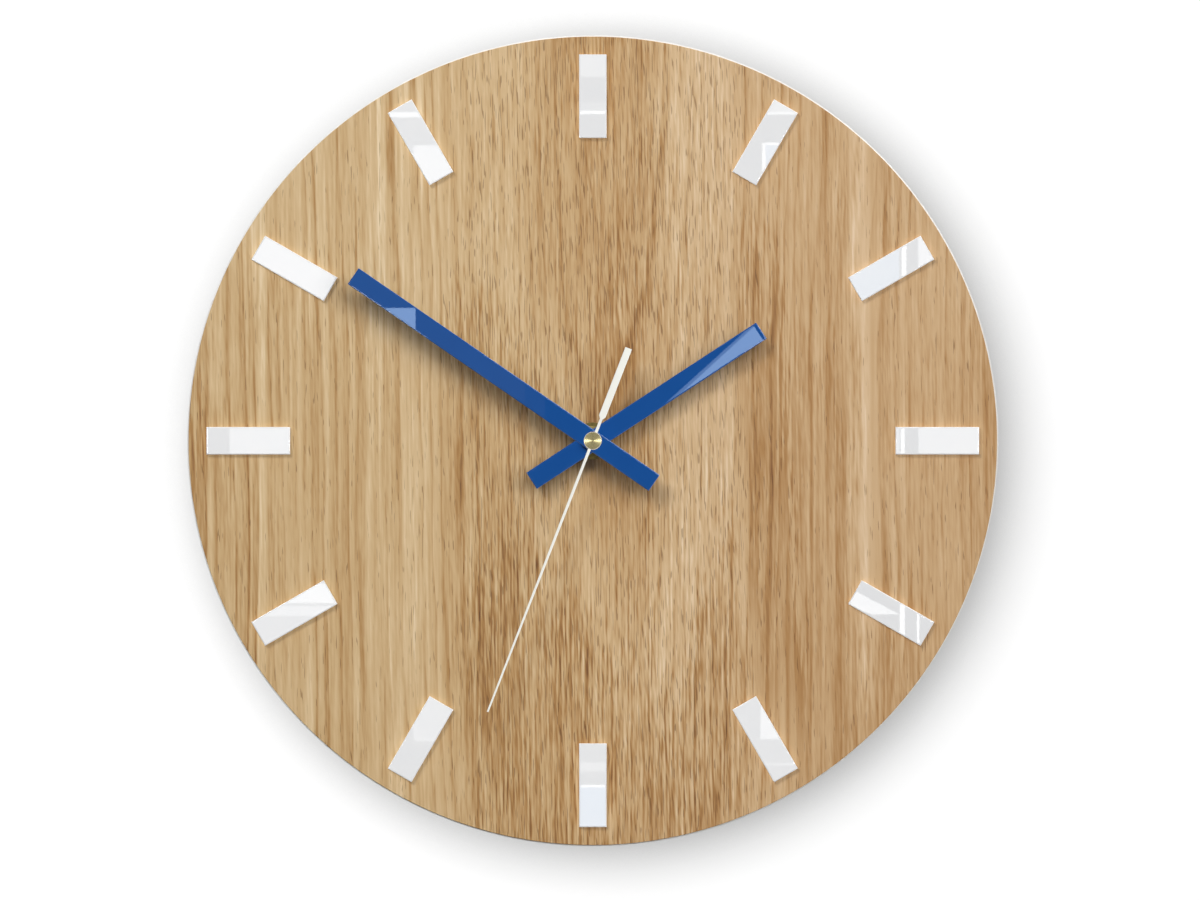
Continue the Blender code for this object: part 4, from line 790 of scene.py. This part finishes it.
WOOD = oak_finish()
WHITE_BOARD = board_finish()
# The white bars' near-white edge colour is a painted highlight along their rounded edges
WHITE_ACRYLIC = acrylic_finish(
    "white_acrylic", srgb(232, 232, 232), srgb(227, 228, 230), srgb(253, 253, 251), 0.99, 0.8
)
BLUE_ACRYLIC = acrylic_finish(
    "blue_acrylic", srgb(21, 77, 146), srgb(18, 73, 141), srgb(104, 140, 190), 0.9, 0.2
)
ENAMEL = paint_finish()
BRASS = metal_finish("drawn_brass", srgb(176, 164, 104), srgb(140, 128, 74), 0.42)
# Nut and washer brass: darker colour is painted shade for their place under the hands, higher roughness a
# duller finish
SHADED_DULL_BRASS = metal_finish("shaded_dull_brass", srgb(128, 116, 72), srgb(98, 88, 52), 0.55)
CAP_BRASS = cap_finish()
STEEL = metal_finish("plated_steel", srgb(205, 205, 203), srgb(168, 169, 170), 0.34)
IRON = metal_finish("soft_iron", srgb(150, 150, 152), srgb(112, 112, 116), 0.45)
COPPER = metal_finish("copper_wire", srgb(214, 140, 92), srgb(170, 96, 58), 0.4, scratch=0.1)
RUBBER = plastic_finish("gasket_rubber", srgb(42, 42, 43), srgb(30, 30, 31), 0.8, 0.3)
FERRITE = plastic_finish("magnet_ferrite", srgb(62, 62, 64), srgb(46, 46, 48), 0.65, 0.2)
BLACK_PLASTIC = plastic_finish("movement_black", srgb(42, 42, 44), srgb(33, 33, 35), 0.5, 0.35)
WHITE_PLASTIC = plastic_finish("acetal_white", srgb(232, 231, 226), srgb(220, 219, 213), 0.45, 0.5)
BOARD_GREEN = plastic_finish("circuit_green", srgb(46, 112, 66), srgb(34, 92, 52), 0.4, 0.6)
CELL_JACKET = cell_finish()


# Dial, hour bars and hands


def build_dial():
    """White board with a rounded rim, and the thinner oak face on it."""
    edges = [0.0, BOARD_EDGE, BOARD_EDGE, 0.0]
    board = flat_ring("dial_core", edges, DIAL_TURNS)
    make_piece("dial_board", board, WHITE_BOARD, "root", "white_core", "dial_core")
    face = flat_ring("oak_veneer", edges, DIAL_TURNS)
    make_piece("oak_face", face, WOOD, "root", "oak", "oak_veneer")


def build_markers():
    """Twelve acrylic bars round the dial."""
    rear, front = levels("hour_marker_12")
    half = MARKER_LENGTH / 2
    middle = outer_radius("dial_core") - MARKER_EDGE_MARGIN - half
    bars = []
    for hour in range(1, MARKER_COUNT + 1):
        degrees = 360.0 * hour / MARKER_COUNT
        shape = bar(MARKER_WIDTH / 2, half, half, rear, front, ACRYLIC_EDGE, degrees, offset=middle)
        node = f"hour_marker_{hour:02d}"
        bars.append(make_piece(f"hour_bar_{hour:02d}", shape, WHITE_ACRYLIC, "root", "white_acrylic", node))
    return bars


def build_bar_hand(body, degrees, reach, tail, tube):
    """Acrylic bar hand and the brass bush under it."""
    rear, front = levels(f"{body}_hand")
    bore = tube + FIT
    spigot = bore + HAND_BUSH_WALL
    hole = spigot + FIT
    shape = bar(HAND_WIDTH / 2, tail, reach, rear, front, ACRYLIC_EDGE, degrees, hole=hole)
    hand = make_piece(f"{body}_bar", shape, BLUE_ACRYLIC, body, "blue_acrylic", f"{body}_hand")
    rear, front = levels(f"{body}_hand_bush")
    flange = outer_radius(f"{body}_hand_bush")
    step = rear + HAND_FLANGE_THICKNESS
    corners = [(bore, rear), (flange, rear), (flange, step), (spigot, step), (spigot, front), (bore, front)]
    edges = [METAL_EDGE / 2, METAL_EDGE, METAL_EDGE, 0.0, METAL_EDGE / 2, METAL_EDGE / 2]
    make_piece(f"{body}_bush", turned(filleted(corners, edges)), BRASS, body, "brass", f"{body}_hand_bush")
    return hand


def build_second_hand():
    """Needle, hub and counterweight as one flat strip: a superellipse section whose width follows the
    strip."""
    rear, front = levels("second_hand")
    shoulder = COUNTERWEIGHT_START + COUNTERWEIGHT_SHOULDER
    hub = SECOND_HUB_RADIUS
    along = np.concatenate(
        [
            np.linspace(-SECOND_TAIL, -shoulder, WEIGHT_POINTS),
            np.linspace(-shoulder, -COUNTERWEIGHT_START, SHOULDER_POINTS)[1:],
            np.linspace(-COUNTERWEIGHT_START, -hub, SHOULDER_POINTS)[1:],
            -hub * np.cos(np.linspace(0.0, math.pi, HUB_POINTS))[1:],
            np.linspace(hub, SECOND_REACH, NEEDLE_POINTS)[1:],
        ]
    )
    needle = np.interp(along, [hub, SECOND_REACH], [NEEDLE_ROOT_WIDTH, NEEDLE_TIP_WIDTH])
    weight = np.interp(along, [-shoulder, -COUNTERWEIGHT_START], [COUNTERWEIGHT_WIDTH, NEEDLE_ROOT_WIDTH])
    disc = 2 * np.sqrt(np.maximum(hub**2 - along**2, 0.0))
    width = np.maximum(np.where(along < 0.0, weight, needle), disc)
    angle = full_turn(SECTION_POINTS)
    side = np.sign(np.cos(angle)) * np.abs(np.cos(angle)) ** SECTION_POWER
    face = np.sign(np.sin(angle)) * np.abs(np.sin(angle)) ** SECTION_POWER
    level = (rear + front) / 2 + (front - rear) / 2 * face
    x, z = turned_by(width[:, None] / 2 * side, along[:, None], SECOND_ANGLE)
    strip = loft(stand(x, z, level), closed_rows=False)
    return make_piece("second_needle", strip, ENAMEL, "second", "pale_paint", "second_hand")


def build_boss():
    """Brass cap of the second hand: a flat turned face, a rounded rim with a painted highlight and a short
    tube behind.
    """
    rear, front = levels("second_hand_boss")
    radius = outer_radius("second_hand_boss")
    head = front - BOSS_HEIGHT
    face_radius = np.linspace(0.0, radius - BOSS_RIM, BOSS_FACE_POINTS)
    face = np.stack([face_radius, np.full_like(face_radius, front)], axis=-1)
    turn = np.linspace(0.0, math.pi / 2, BOSS_RIM_POINTS)[1:]
    rim_radius = radius - BOSS_RIM + BOSS_RIM * np.sin(turn)
    rim = np.stack([rim_radius, front - BOSS_RIM + BOSS_RIM * np.cos(turn)], axis=-1)
    tube = [(radius, head), (BOSS_TUBE, head), (BOSS_TUBE, rear)]
    bore = [(BOSS_BORE, rear), (BOSS_BORE, head), (0.0, head)]
    section = np.concatenate([face, rim, tube, bore])
    return make_piece("boss_cap", turned(section), CAP_BRASS, "second", "brass", "second_hand_boss")


# Centre stack


def build_nut():
    """Hexagon nut: its side at angle a is half the flats' width over cos of the angle from the nearest
    flat, and both faces are chamfered by a cone that leaves the curved corners. The rows run from the
    bore's lip out to the side, and back the same way at the front."""
    rear, front = levels("hex_nut")
    low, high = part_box("hex_nut")
    flat = (high.z - low.z) / 2
    angle = full_turn(HUB_TURNS)
    sixth = math.pi / 3
    from_flat = np.mod(angle + sixth / 2, sixth) - sixth / 2
    side = flat / np.cos(from_flat)
    crown = flat * NUT_CROWN
    drop = (side - crown) * math.tan(NUT_CHAMFER)
    bore = THREAD_RADIUS + FIT
    half_radii = np.stack(np.broadcast_arrays(bore, bore + NUT_LIP, crown, side))
    half_drops = np.stack(np.broadcast_arrays(NUT_LIP, 0.0, 0.0, drop))
    radii = np.concatenate([half_radii, half_radii[::-1]])
    heights = np.concatenate([rear + half_drops, front - half_drops[::-1]])
    rows = stand(radii * np.sin(angle), radii * np.cos(angle), heights)
    make_piece("hub_nut", loft(rows), SHADED_DULL_BRASS, "root", "brass", "hex_nut")


def build_bush():
    """Threaded bush: the thread's depth is a triangle wave of level over pitch minus the turn, faded at
    the end. The flange's rows come before the thread's, and the bore's rim after them."""
    rear, front = levels("threaded_bush")
    flange = outer_radius("threaded_bush")
    step = rear + BUSH_FLANGE_THICKNESS
    root = THREAD_RADIUS - THREAD_DEPTH
    angle = full_turn(HUB_TURNS)
    rise = np.arange(step, front, THREAD_PITCH / THREAD_STEPS)[:, None]
    wave = np.abs(np.mod(rise / THREAD_PITCH - angle / (2 * math.pi), 1.0) * 2 - 1)
    end_bevel = np.clip((rise - (front - THREAD_PITCH / 2)) / (THREAD_PITCH / 2), 0.0, 1.0)
    thread = THREAD_RADIUS - THREAD_DEPTH * np.maximum(wave, end_bevel)
    ones = np.ones_like(angle)
    foot = np.array([(BUSH_BORE, rear), (flange, rear), (flange, step)])[..., None] * ones
    rim = np.array([(root, front), (BUSH_BORE, front)])[..., None] * ones
    radii = np.concatenate([foot[:, 0], thread, rim[:, 0]])
    heights = np.concatenate([foot[:, 1], rise * ones, rim[:, 1]])
    rows = stand(radii * np.sin(angle), radii * np.cos(angle), heights)
    make_piece("hub_bush", loft(rows), BRASS, "root", "brass", "threaded_bush")


def build_rings():
    """Brass washer on the face and rubber gasket behind the board."""
    edges = [METAL_EDGE] * 4
    make_piece("hub_washer", flat_ring("washer", edges), SHADED_DULL_BRASS, "root", "brass", "washer")
    gasket = flat_ring("rubber_gasket", edges)
    make_piece("gasket_ring", gasket, RUBBER, "root", "rubber", "rubber_gasket")


# Movement, battery and hanger


def build_movement():
    """Softened mouldings of the movement, and the hanger."""
    softened("movement_case", "case_shell", MOULDED_EDGE, BLACK_PLASTIC, "root", "black_plastic")
    softened("rear_cover", "cover_plate", MOULDED_EDGE, BLACK_PLASTIC, "root", "black_plastic")
    softened("setting_knob", "knob_disc", MOULDED_EDGE, WHITE_PLASTIC, "knob", "white_plastic")
    softened("hanger_bracket", "hanger_strip", METAL_EDGE, STEEL, "root", "steel")


def build_battery():
    """Dry cell turned about its own axis: crimped jacket ends and the nub."""
    low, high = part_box("battery_cell")
    radius = (high.z - low.z) / 2
    axis = ((low.y + high.y) / 2, (low.z + high.z) / 2)
    rim = radius - 3 * CELL_LIP
    crimp = [(0.0, CELL_LIP), (rim - CELL_LIP, CELL_LIP), (rim, 0.0), (radius, 0.0)]
    base = [(out, low.x + inset) for out, inset in crimp]
    top = [(out, high.x - inset) for out, inset in reversed(crimp)]
    edges = [0.0, CELL_LIP / 2, CELL_LIP / 2, CELL_LIP]
    can = filleted(base + top, edges + edges[::-1])
    along_x("cell_can", can, axis, CELL_JACKET, "cell_jacket", "battery_cell")
    low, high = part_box("battery_terminal")
    radius = (high.z - low.z) / 2
    corners = [(0.0, low.x - CELL_LIP), (radius, low.x - CELL_LIP), (radius, high.x), (0.0, high.x)]
    nub = filleted(corners, [0.0, 0.0, CELL_LIP / 2, 0.0])
    along_x("cell_nub", nub, axis, STEEL, "steel", "battery_terminal")


def along_x(name, section, axis, finish, slot, node):
    """Turn a section of (radius, x) about a line along X, at the axis's y and z."""
    angle = full_turn(HUB_TURNS)
    radius = section[:, :1]
    y = axis[0] + radius * np.cos(angle)
    z = axis[1] + radius * np.sin(angle)
    rows = np.stack(np.broadcast_arrays(section[:, 1:], y, z), axis=-1)
    make_piece(name, loft(rows), finish, "battery", slot, node)


INNER_FINISHES = {
    BRASS: ["contact_positive", "contact_negative", "minute_wheel", "hour_wheel"],
    STEEL: ["seconds_arbor", "rotor_arbor", "quartz_crystal"]
    + [f"plate_screw_{number}" for number in range(1, PLATE_SCREWS + 1)],
    IRON: ["stator_plate", "coil_core"],
    COPPER: ["coil_winding"],
    FERRITE: ["rotor_magnet", "clock_chip"],
    WHITE_PLASTIC: ["train_bridge", "coil_bobbin"]
    + [f"{wheel}_wheel" for wheel in ("seconds", "third", "intermediate", "motion")],
    BOARD_GREEN: ["circuit_board"],
}


def finish_inner_pieces():
    """Finishes of the CAD pieces that stay as they are inside the movement."""
    for finish, nodes in INNER_FINISHES.items():
        for node in nodes:
            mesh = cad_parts[node].data
            mesh.materials.clear()
            mesh.materials.append(finish)


# Studio: wall, boards that the polished faces mirror, lamps, world and camera

DIAL_FACE = levels("oak_veneer")[1]
PIXEL = outer_radius("dial_core") / DIAL_RADIUS
CAMERA_X = (IMAGE_WIDTH / 2 - DIAL_CENTRE[0]) * PIXEL
CAMERA_Z = (DIAL_CENTRE[1] - IMAGE_HEIGHT / 2) * PIXEL
CAMERA_Y = -(DIAL_FACE + CAMERA_DISTANCE)

# Lamps: place, width, height, roll in degrees and power. The hands have their own, in the key's place.
KEY_PLACE = (2.5, -3.5, 1.62)
KEY_LAMP = (KEY_PLACE, 2.2, 5.6, 55.0, 187.0)
HAND_LAMP = (KEY_PLACE, 3.0, 3.0, 0.0, 300.0)
LEFT_LAMP = ((-1.83, -3.5, 2.34), 1.6, 1.6, 0.0, 111.0)
WALL_LAMP = ((-0.63, -1.4, 0.40), 1.9, 1.9, 0.0, 33.0)
REAR_LAMP = ((0.5, 1.3, 0.9), 1.0, 1.0, 0.0, 14.0)

# Wall: half its side, its gap behind the clock, its grey under the lamps, and its own glow, darkened as a
# painted shadow where the clock occludes it within a reach
WALL_HALF = 4.0
WALL_GAP = 0.0004
WALL_DIFFUSE = 0.45
WALL_GLOW = 0.73
WALL_SHADE_REACH = 0.048
WALL_SHADE_POWER = 1.6

# World: pale grey, and its level before and behind the clock, as light and as mirrored. Each pair gives
# the rearward shares of a direction between which the front's level becomes the other.
STUDIO_GREY = (0.8, 0.8, 0.8, 1.0)
FRONT_AMBIENT = 0.06
REAR_AMBIENT = 0.45
AMBIENT_TURN = (-0.4, 0.4)
FRONT_MIRROR = 0.12
MIRROR_TURN = (-0.93, -0.5)

# Bright places on the polished faces, as boxes of left, top, right and bottom pixels, with their
# brightness and tint
DAYLIGHT = (0.55, 0.75, 1.0)
WHITE = (1.0, 1.0, 1.0)
MIRRORED_BOXES = [
    ((330, 308.6, 416.4, 350), 8.8, DAYLIGHT),
    ((389, 112.5, 425, 117.5), 6.0, WHITE),
    ((413.8, 145.6, 456, 185), 4.8, WHITE),
    ((579, 103.0, 607, 111), 1.2, WHITE),
    ((579, 111.0, 607, 114.5), 6.5, WHITE),
    ((579, 50, 607, 77), 2.2, WHITE),
    ((757, 95, 800, 112), 2.4, WHITE),
    ((757, 112, 800, 115), 5.0, WHITE),
    ((762, 143, 765.5, 190), 6.0, WHITE),
    ((765.5, 143, 790, 145.5), 6.0, WHITE),
    ((765.5, 145.5, 790, 190), 3.2, DAYLIGHT),
    ((846, 232, 899, 300), 3.2, DAYLIGHT),
    ((901.5, 232, 906, 300), 7.0, WHITE),
    ((918, 232, 937, 300), 4.4, WHITE),
    ((890, 422, 899, 454), 3.0, WHITE),
    ((900.5, 422, 904.5, 454), 7.0, WHITE),
    ((918, 422, 985, 454), 3.6, WHITE),
    ((899.5, 576, 904.5, 644), 7.0, WHITE),
    ((916.8, 576, 919, 644), 8.0, WHITE),
    ((760.5, 690, 800, 739), 5.2, WHITE),
    ((764, 763, 797, 765), 4.0, WHITE),
    ((579, 762, 607, 771), 3.4, WHITE),
    ((579, 784.5, 607, 787), 8.0, WHITE),
    ((579, 787, 607, 828), 4.8, DAYLIGHT),
    ((414, 690, 417, 738), 4.0, WHITE),
    ((417, 690, 455, 738), 3.2, WHITE),
    ((414, 738, 455, 741), 4.0, WHITE),
    ((255, 584, 342, 603), 6.2, WHITE),
    ((255, 606, 342, 616), 4.6, WHITE),
    ((230, 422, 293, 454), 4.2, WHITE),
    ((248, 230, 341, 300), 5.0, WHITE),
]
# Faint haze behind those boards, as boxes with a brightness
HAZE_BEHIND = 0.02
MIRRORED_HAZE = [
    ((380, 80, 462, 195), 1.0),
    ((190, 415, 305, 462), 1.0),
    ((240, 565, 350, 655), 2.4),
    ((380, 680, 470, 840), 1.4),
    ((570, 730, 618, 840), 1.6),
    ((720, 680, 810, 840), 1.6),
    ((340, 262, 525, 412), 0.4),
    ((525, 378, 545, 422), 0.26),
]
# Slanted boards: the hour hand's bright wedge and its soft edge behind it, and the one on the hour bar
# of four, each as corner pixels, brightness, tint and how far behind it stands
WEDGE_BEHIND = 0.01
MIRRORED_WEDGES = [
    ([(677, 397), (753.6, 326.9), (762.4, 340.2)], 8.6, DAYLIGHT, 0.0),
    ([(664, 404.5), (752.2, 324.8), (762.4, 340.2)], 4.2, DAYLIGHT, WEDGE_BEHIND),
    ([(846, 586), (899, 614), (872, 614.5), (846, 604)], 5.4, WHITE, 0.0),
]
# Cards round the camera, outside what the flat faces mirror: side strips that draw the streak across the
# turned cap, and dimmer cards above, below and on the rest of the sides. Each is left, bottom, right and
# top in metres, and a brightness.
CAP_CARDS = [
    ((-1.0, -0.05, -0.36, 0.05), 24.0),
    ((0.36, -0.05, 1.0, 0.05), 24.0),
    ((-1.0, 0.36, 1.0, 1.0), 0.8),
    ((-1.0, -1.0, 1.0, -0.36), 0.8),
    ((-1.0, 0.05, -0.36, 0.36), 0.5),
    ((0.36, 0.05, 1.0, 0.36), 0.5),
    ((-1.0, -0.36, -0.36, -0.05), 0.5),
    ((0.36, -0.36, 1.0, -0.05), 0.5),
]


def cleared(owner):
    """Emptied node tree of a material or a world."""
    owner.use_nodes = True
    owner.node_tree.nodes.clear()
    return NodeTree(owner.node_tree)


def glow_finish(name, tint, strength):
    """Plain light of a board that only polished faces mirror."""
    glow = bpy.data.materials.new(name)
    nodes = cleared(glow)
    light = nodes.node("ShaderNodeEmission", {"Color": (*tint, 1.0), "Strength": strength})
    nodes.node("ShaderNodeOutputMaterial", {"Surface": light.outputs[0]})
    return glow


def mirror_board(name, corners, strength, tint, behind=0.0):
    """Glowing board in the camera's plane, or a distance behind it. A flat face mirrors it where its
    corners are twice as far from the axis."""
    mesh = bpy.data.meshes.new(name)
    mesh.from_pydata([(x, CAMERA_Y - behind, z) for x, z in corners], [], [list(range(len(corners)))])
    mesh.materials.append(glow_finish(name, tint, strength))
    board = put(name, mesh)
    board.visible_camera = False
    board.visible_diffuse = False
    board.visible_shadow = False


def box_corners(left, bottom, right, top):
    """The four corners of a box."""
    return [(left, bottom), (right, bottom), (right, top), (left, top)]


def mirrored(pixels):
    """Board corners in the camera's plane that a flat face shows at these pixels."""
    across = [(x - DIAL_CENTRE[0]) * PIXEL for x, _ in pixels]
    up = [(DIAL_CENTRE[1] - y) * PIXEL for _, y in pixels]
    return [(2 * x - CAMERA_X, 2 * z - CAMERA_Z) for x, z in zip(across, up)]


def build_boards():
    """Every board that the polished faces mirror."""
    for number, ((left, top, right, bottom), strength, tint) in enumerate(MIRRORED_BOXES):
        corners = mirrored(box_corners(left, bottom, right, top))
        mirror_board(f"mirror_box_{number}", corners, strength, tint)
    for number, ((left, top, right, bottom), strength) in enumerate(MIRRORED_HAZE):
        corners = mirrored(box_corners(left, bottom, right, top))
        mirror_board(f"mirror_haze_{number}", corners, strength, WHITE, HAZE_BEHIND)
    for number, (corners, strength, tint, behind) in enumerate(MIRRORED_WEDGES):
        mirror_board(f"mirror_wedge_{number}", mirrored(corners), strength, tint, behind)
    for number, (card, strength) in enumerate(CAP_CARDS):
        mirror_board(f"cap_card_{number}", box_corners(*card), strength, WHITE)


def build_wall():
    """White wall that shows the clock's shadow from the front, cast from its own lamp and painted into its
    glow, and is clear from behind. It blocks no light, so that the clock's back is lit as well as its face."""
    mesh = bpy.data.meshes.new("wall")
    corners = box_corners(-WALL_HALF, -WALL_HALF, WALL_HALF, WALL_HALF)
    mesh.from_pydata([(x, WALL_GAP, z) for x, z in corners], [], [list(range(len(corners)))])
    wall = put("wall", mesh)
    wall.visible_diffuse = False
    wall.visible_shadow = False
    white = bpy.data.materials.new("wall_white")
    nodes = cleared(white)
    # Painted shadow: the glow is darkened by ambient occlusion round the clock
    openness = nodes.node("ShaderNodeAmbientOcclusion", {"Distance": WALL_SHADE_REACH}).outputs["AO"]
    level = nodes.maths("MULTIPLY", nodes.maths("POWER", openness, WALL_SHADE_POWER), WALL_GLOW)
    glow = nodes.node("ShaderNodeEmission", {"Strength": level})
    grey = (WALL_DIFFUSE, WALL_DIFFUSE, WALL_DIFFUSE, 1.0)
    diffuse = nodes.node("ShaderNodeBsdfDiffuse", {"Color": grey})
    lit = nodes.node("ShaderNodeAddShader", {0: diffuse.outputs[0], 1: glow.outputs[0]})
    clear = nodes.node("ShaderNodeBsdfTransparent", {})
    from_behind = nodes.node("ShaderNodeNewGeometry", {}).outputs["Backfacing"]
    sides = nodes.node("ShaderNodeMixShader", {0: from_behind, 1: lit.outputs[0], 2: clear.outputs[0]})
    nodes.node("ShaderNodeOutputMaterial", {"Surface": sides.outputs[0]})
    mesh.materials.append(white)
    return wall


def build_world():
    """Soft light all round, dimmer before the clock than behind it. The polished faces mirror a dark room
    straight ahead and pale grey at the sides, and a camera ray that leaves the scene finds that grey."""
    world = bpy.data.worlds.new("studio")
    bpy.context.scene.world = world
    sky = cleared(world)
    way = sky.node("ShaderNodeTexCoord", {}).outputs["Generated"]
    rearward = sky.split(way)[1]
    ray = sky.node("ShaderNodeLightPath", {}).outputs
    ambient_share = sky.between(rearward, *AMBIENT_TURN, easing="LINEAR")
    mirror_share = sky.between(rearward, *MIRROR_TURN, easing="LINEAR")
    ambient = sky.blend(ambient_share, FRONT_AMBIENT, REAR_AMBIENT)
    mirror = sky.blend(mirror_share, FRONT_MIRROR, 1.0)
    level = sky.blend(ray["Is Glossy Ray"], ambient, mirror)
    level = sky.blend(ray["Is Transmission Ray"], level, mirror)
    level = sky.blend(ray["Is Camera Ray"], level, 1.0)
    background = sky.node("ShaderNodeBackground", {"Color": STUDIO_GREY, "Strength": level})
    sky.node("ShaderNodeOutputWorld", {"Surface": background.outputs[0]})


def build_lamp(name, place, width, height, roll, power):
    """Soft panel aimed at the dial, turned about its aim by the roll in degrees."""
    light = bpy.data.lights.new(name, "AREA")
    light.shape = "RECTANGLE"
    light.size = width
    light.size_y = height
    light.energy = power
    lamp = put(name, light)
    lamp.location = place
    aim = (-Vector(place)).to_track_quat("-Z", "Y")
    lamp.rotation_euler = (aim @ Quaternion((0.0, 0.0, 1.0), math.radians(roll))).to_euler()
    lamp.visible_camera = False
    return lamp


def lamp_group(name, pieces, state):
    """Group of the pieces that a lamp alone reaches, or that it leaves out."""
    group = bpy.data.collections.new(name)
    for piece in pieces:
        group.objects.link(piece)
    for member in group.collection_objects:
        member.light_linking.link_state = state
    return group


def build_camera():
    """Camera square on to the dial, moved aside so that the dial's centre falls on its pixel."""
    lens = bpy.data.cameras.new("camera")
    lens.sensor_fit = "HORIZONTAL"
    lens.sensor_width = SENSOR_WIDTH
    lens.lens = SENSOR_WIDTH * CAMERA_DISTANCE / (IMAGE_WIDTH * PIXEL)
    lens.clip_start = CLIP_NEAR
    lens.clip_end = CLIP_FAR
    camera = put("camera", lens)
    camera.location = (CAMERA_X, CAMERA_Y, CAMERA_Z)
    camera.rotation_euler = (math.pi / 2, 0.0, 0.0)
    bpy.context.scene.camera = camera


build_dial()
hour_bars = build_markers()
hands = [
    build_bar_hand("hour", HOUR_ANGLE, HOUR_REACH, HOUR_TAIL, HOUR_TUBE),
    build_bar_hand("minute", MINUTE_ANGLE, MINUTE_REACH, MINUTE_TAIL, MINUTE_TUBE),
    build_second_hand(),
]
boss_cap = build_boss()
build_nut()
build_bush()
build_rings()
build_movement()
build_battery()
finish_inner_pieces()

wall = build_wall()
build_boards()
build_world()
key_lamp = build_lamp("key_lamp", *KEY_LAMP)
hand_lamp = build_lamp("hand_lamp", *HAND_LAMP)
left_lamp = build_lamp("left_lamp", *LEFT_LAMP)
wall_lamp = build_lamp("wall_lamp", *WALL_LAMP)
dial_light = lamp_group("all_but_wall_and_hands", [wall, boss_cap, *hands], "EXCLUDE")
key_lamp.light_linking.receiver_collection = dial_light
left_lamp.light_linking.receiver_collection = dial_light
hand_lamp.light_linking.receiver_collection = lamp_group("hands_alone", hands, "INCLUDE")
wall_lamp.light_linking.receiver_collection = lamp_group("wall_alone", [wall], "INCLUDE")
key_lamp.light_linking.blocker_collection = lamp_group("all_but_hour_bars", hour_bars, "EXCLUDE")
hand_lamp.light_linking.blocker_collection = lamp_group("all_but_hands", [boss_cap, *hands], "EXCLUDE")
build_lamp("rear_lamp", *REAR_LAMP)
build_camera()
bpy.context.scene.view_settings.view_transform = "Standard"
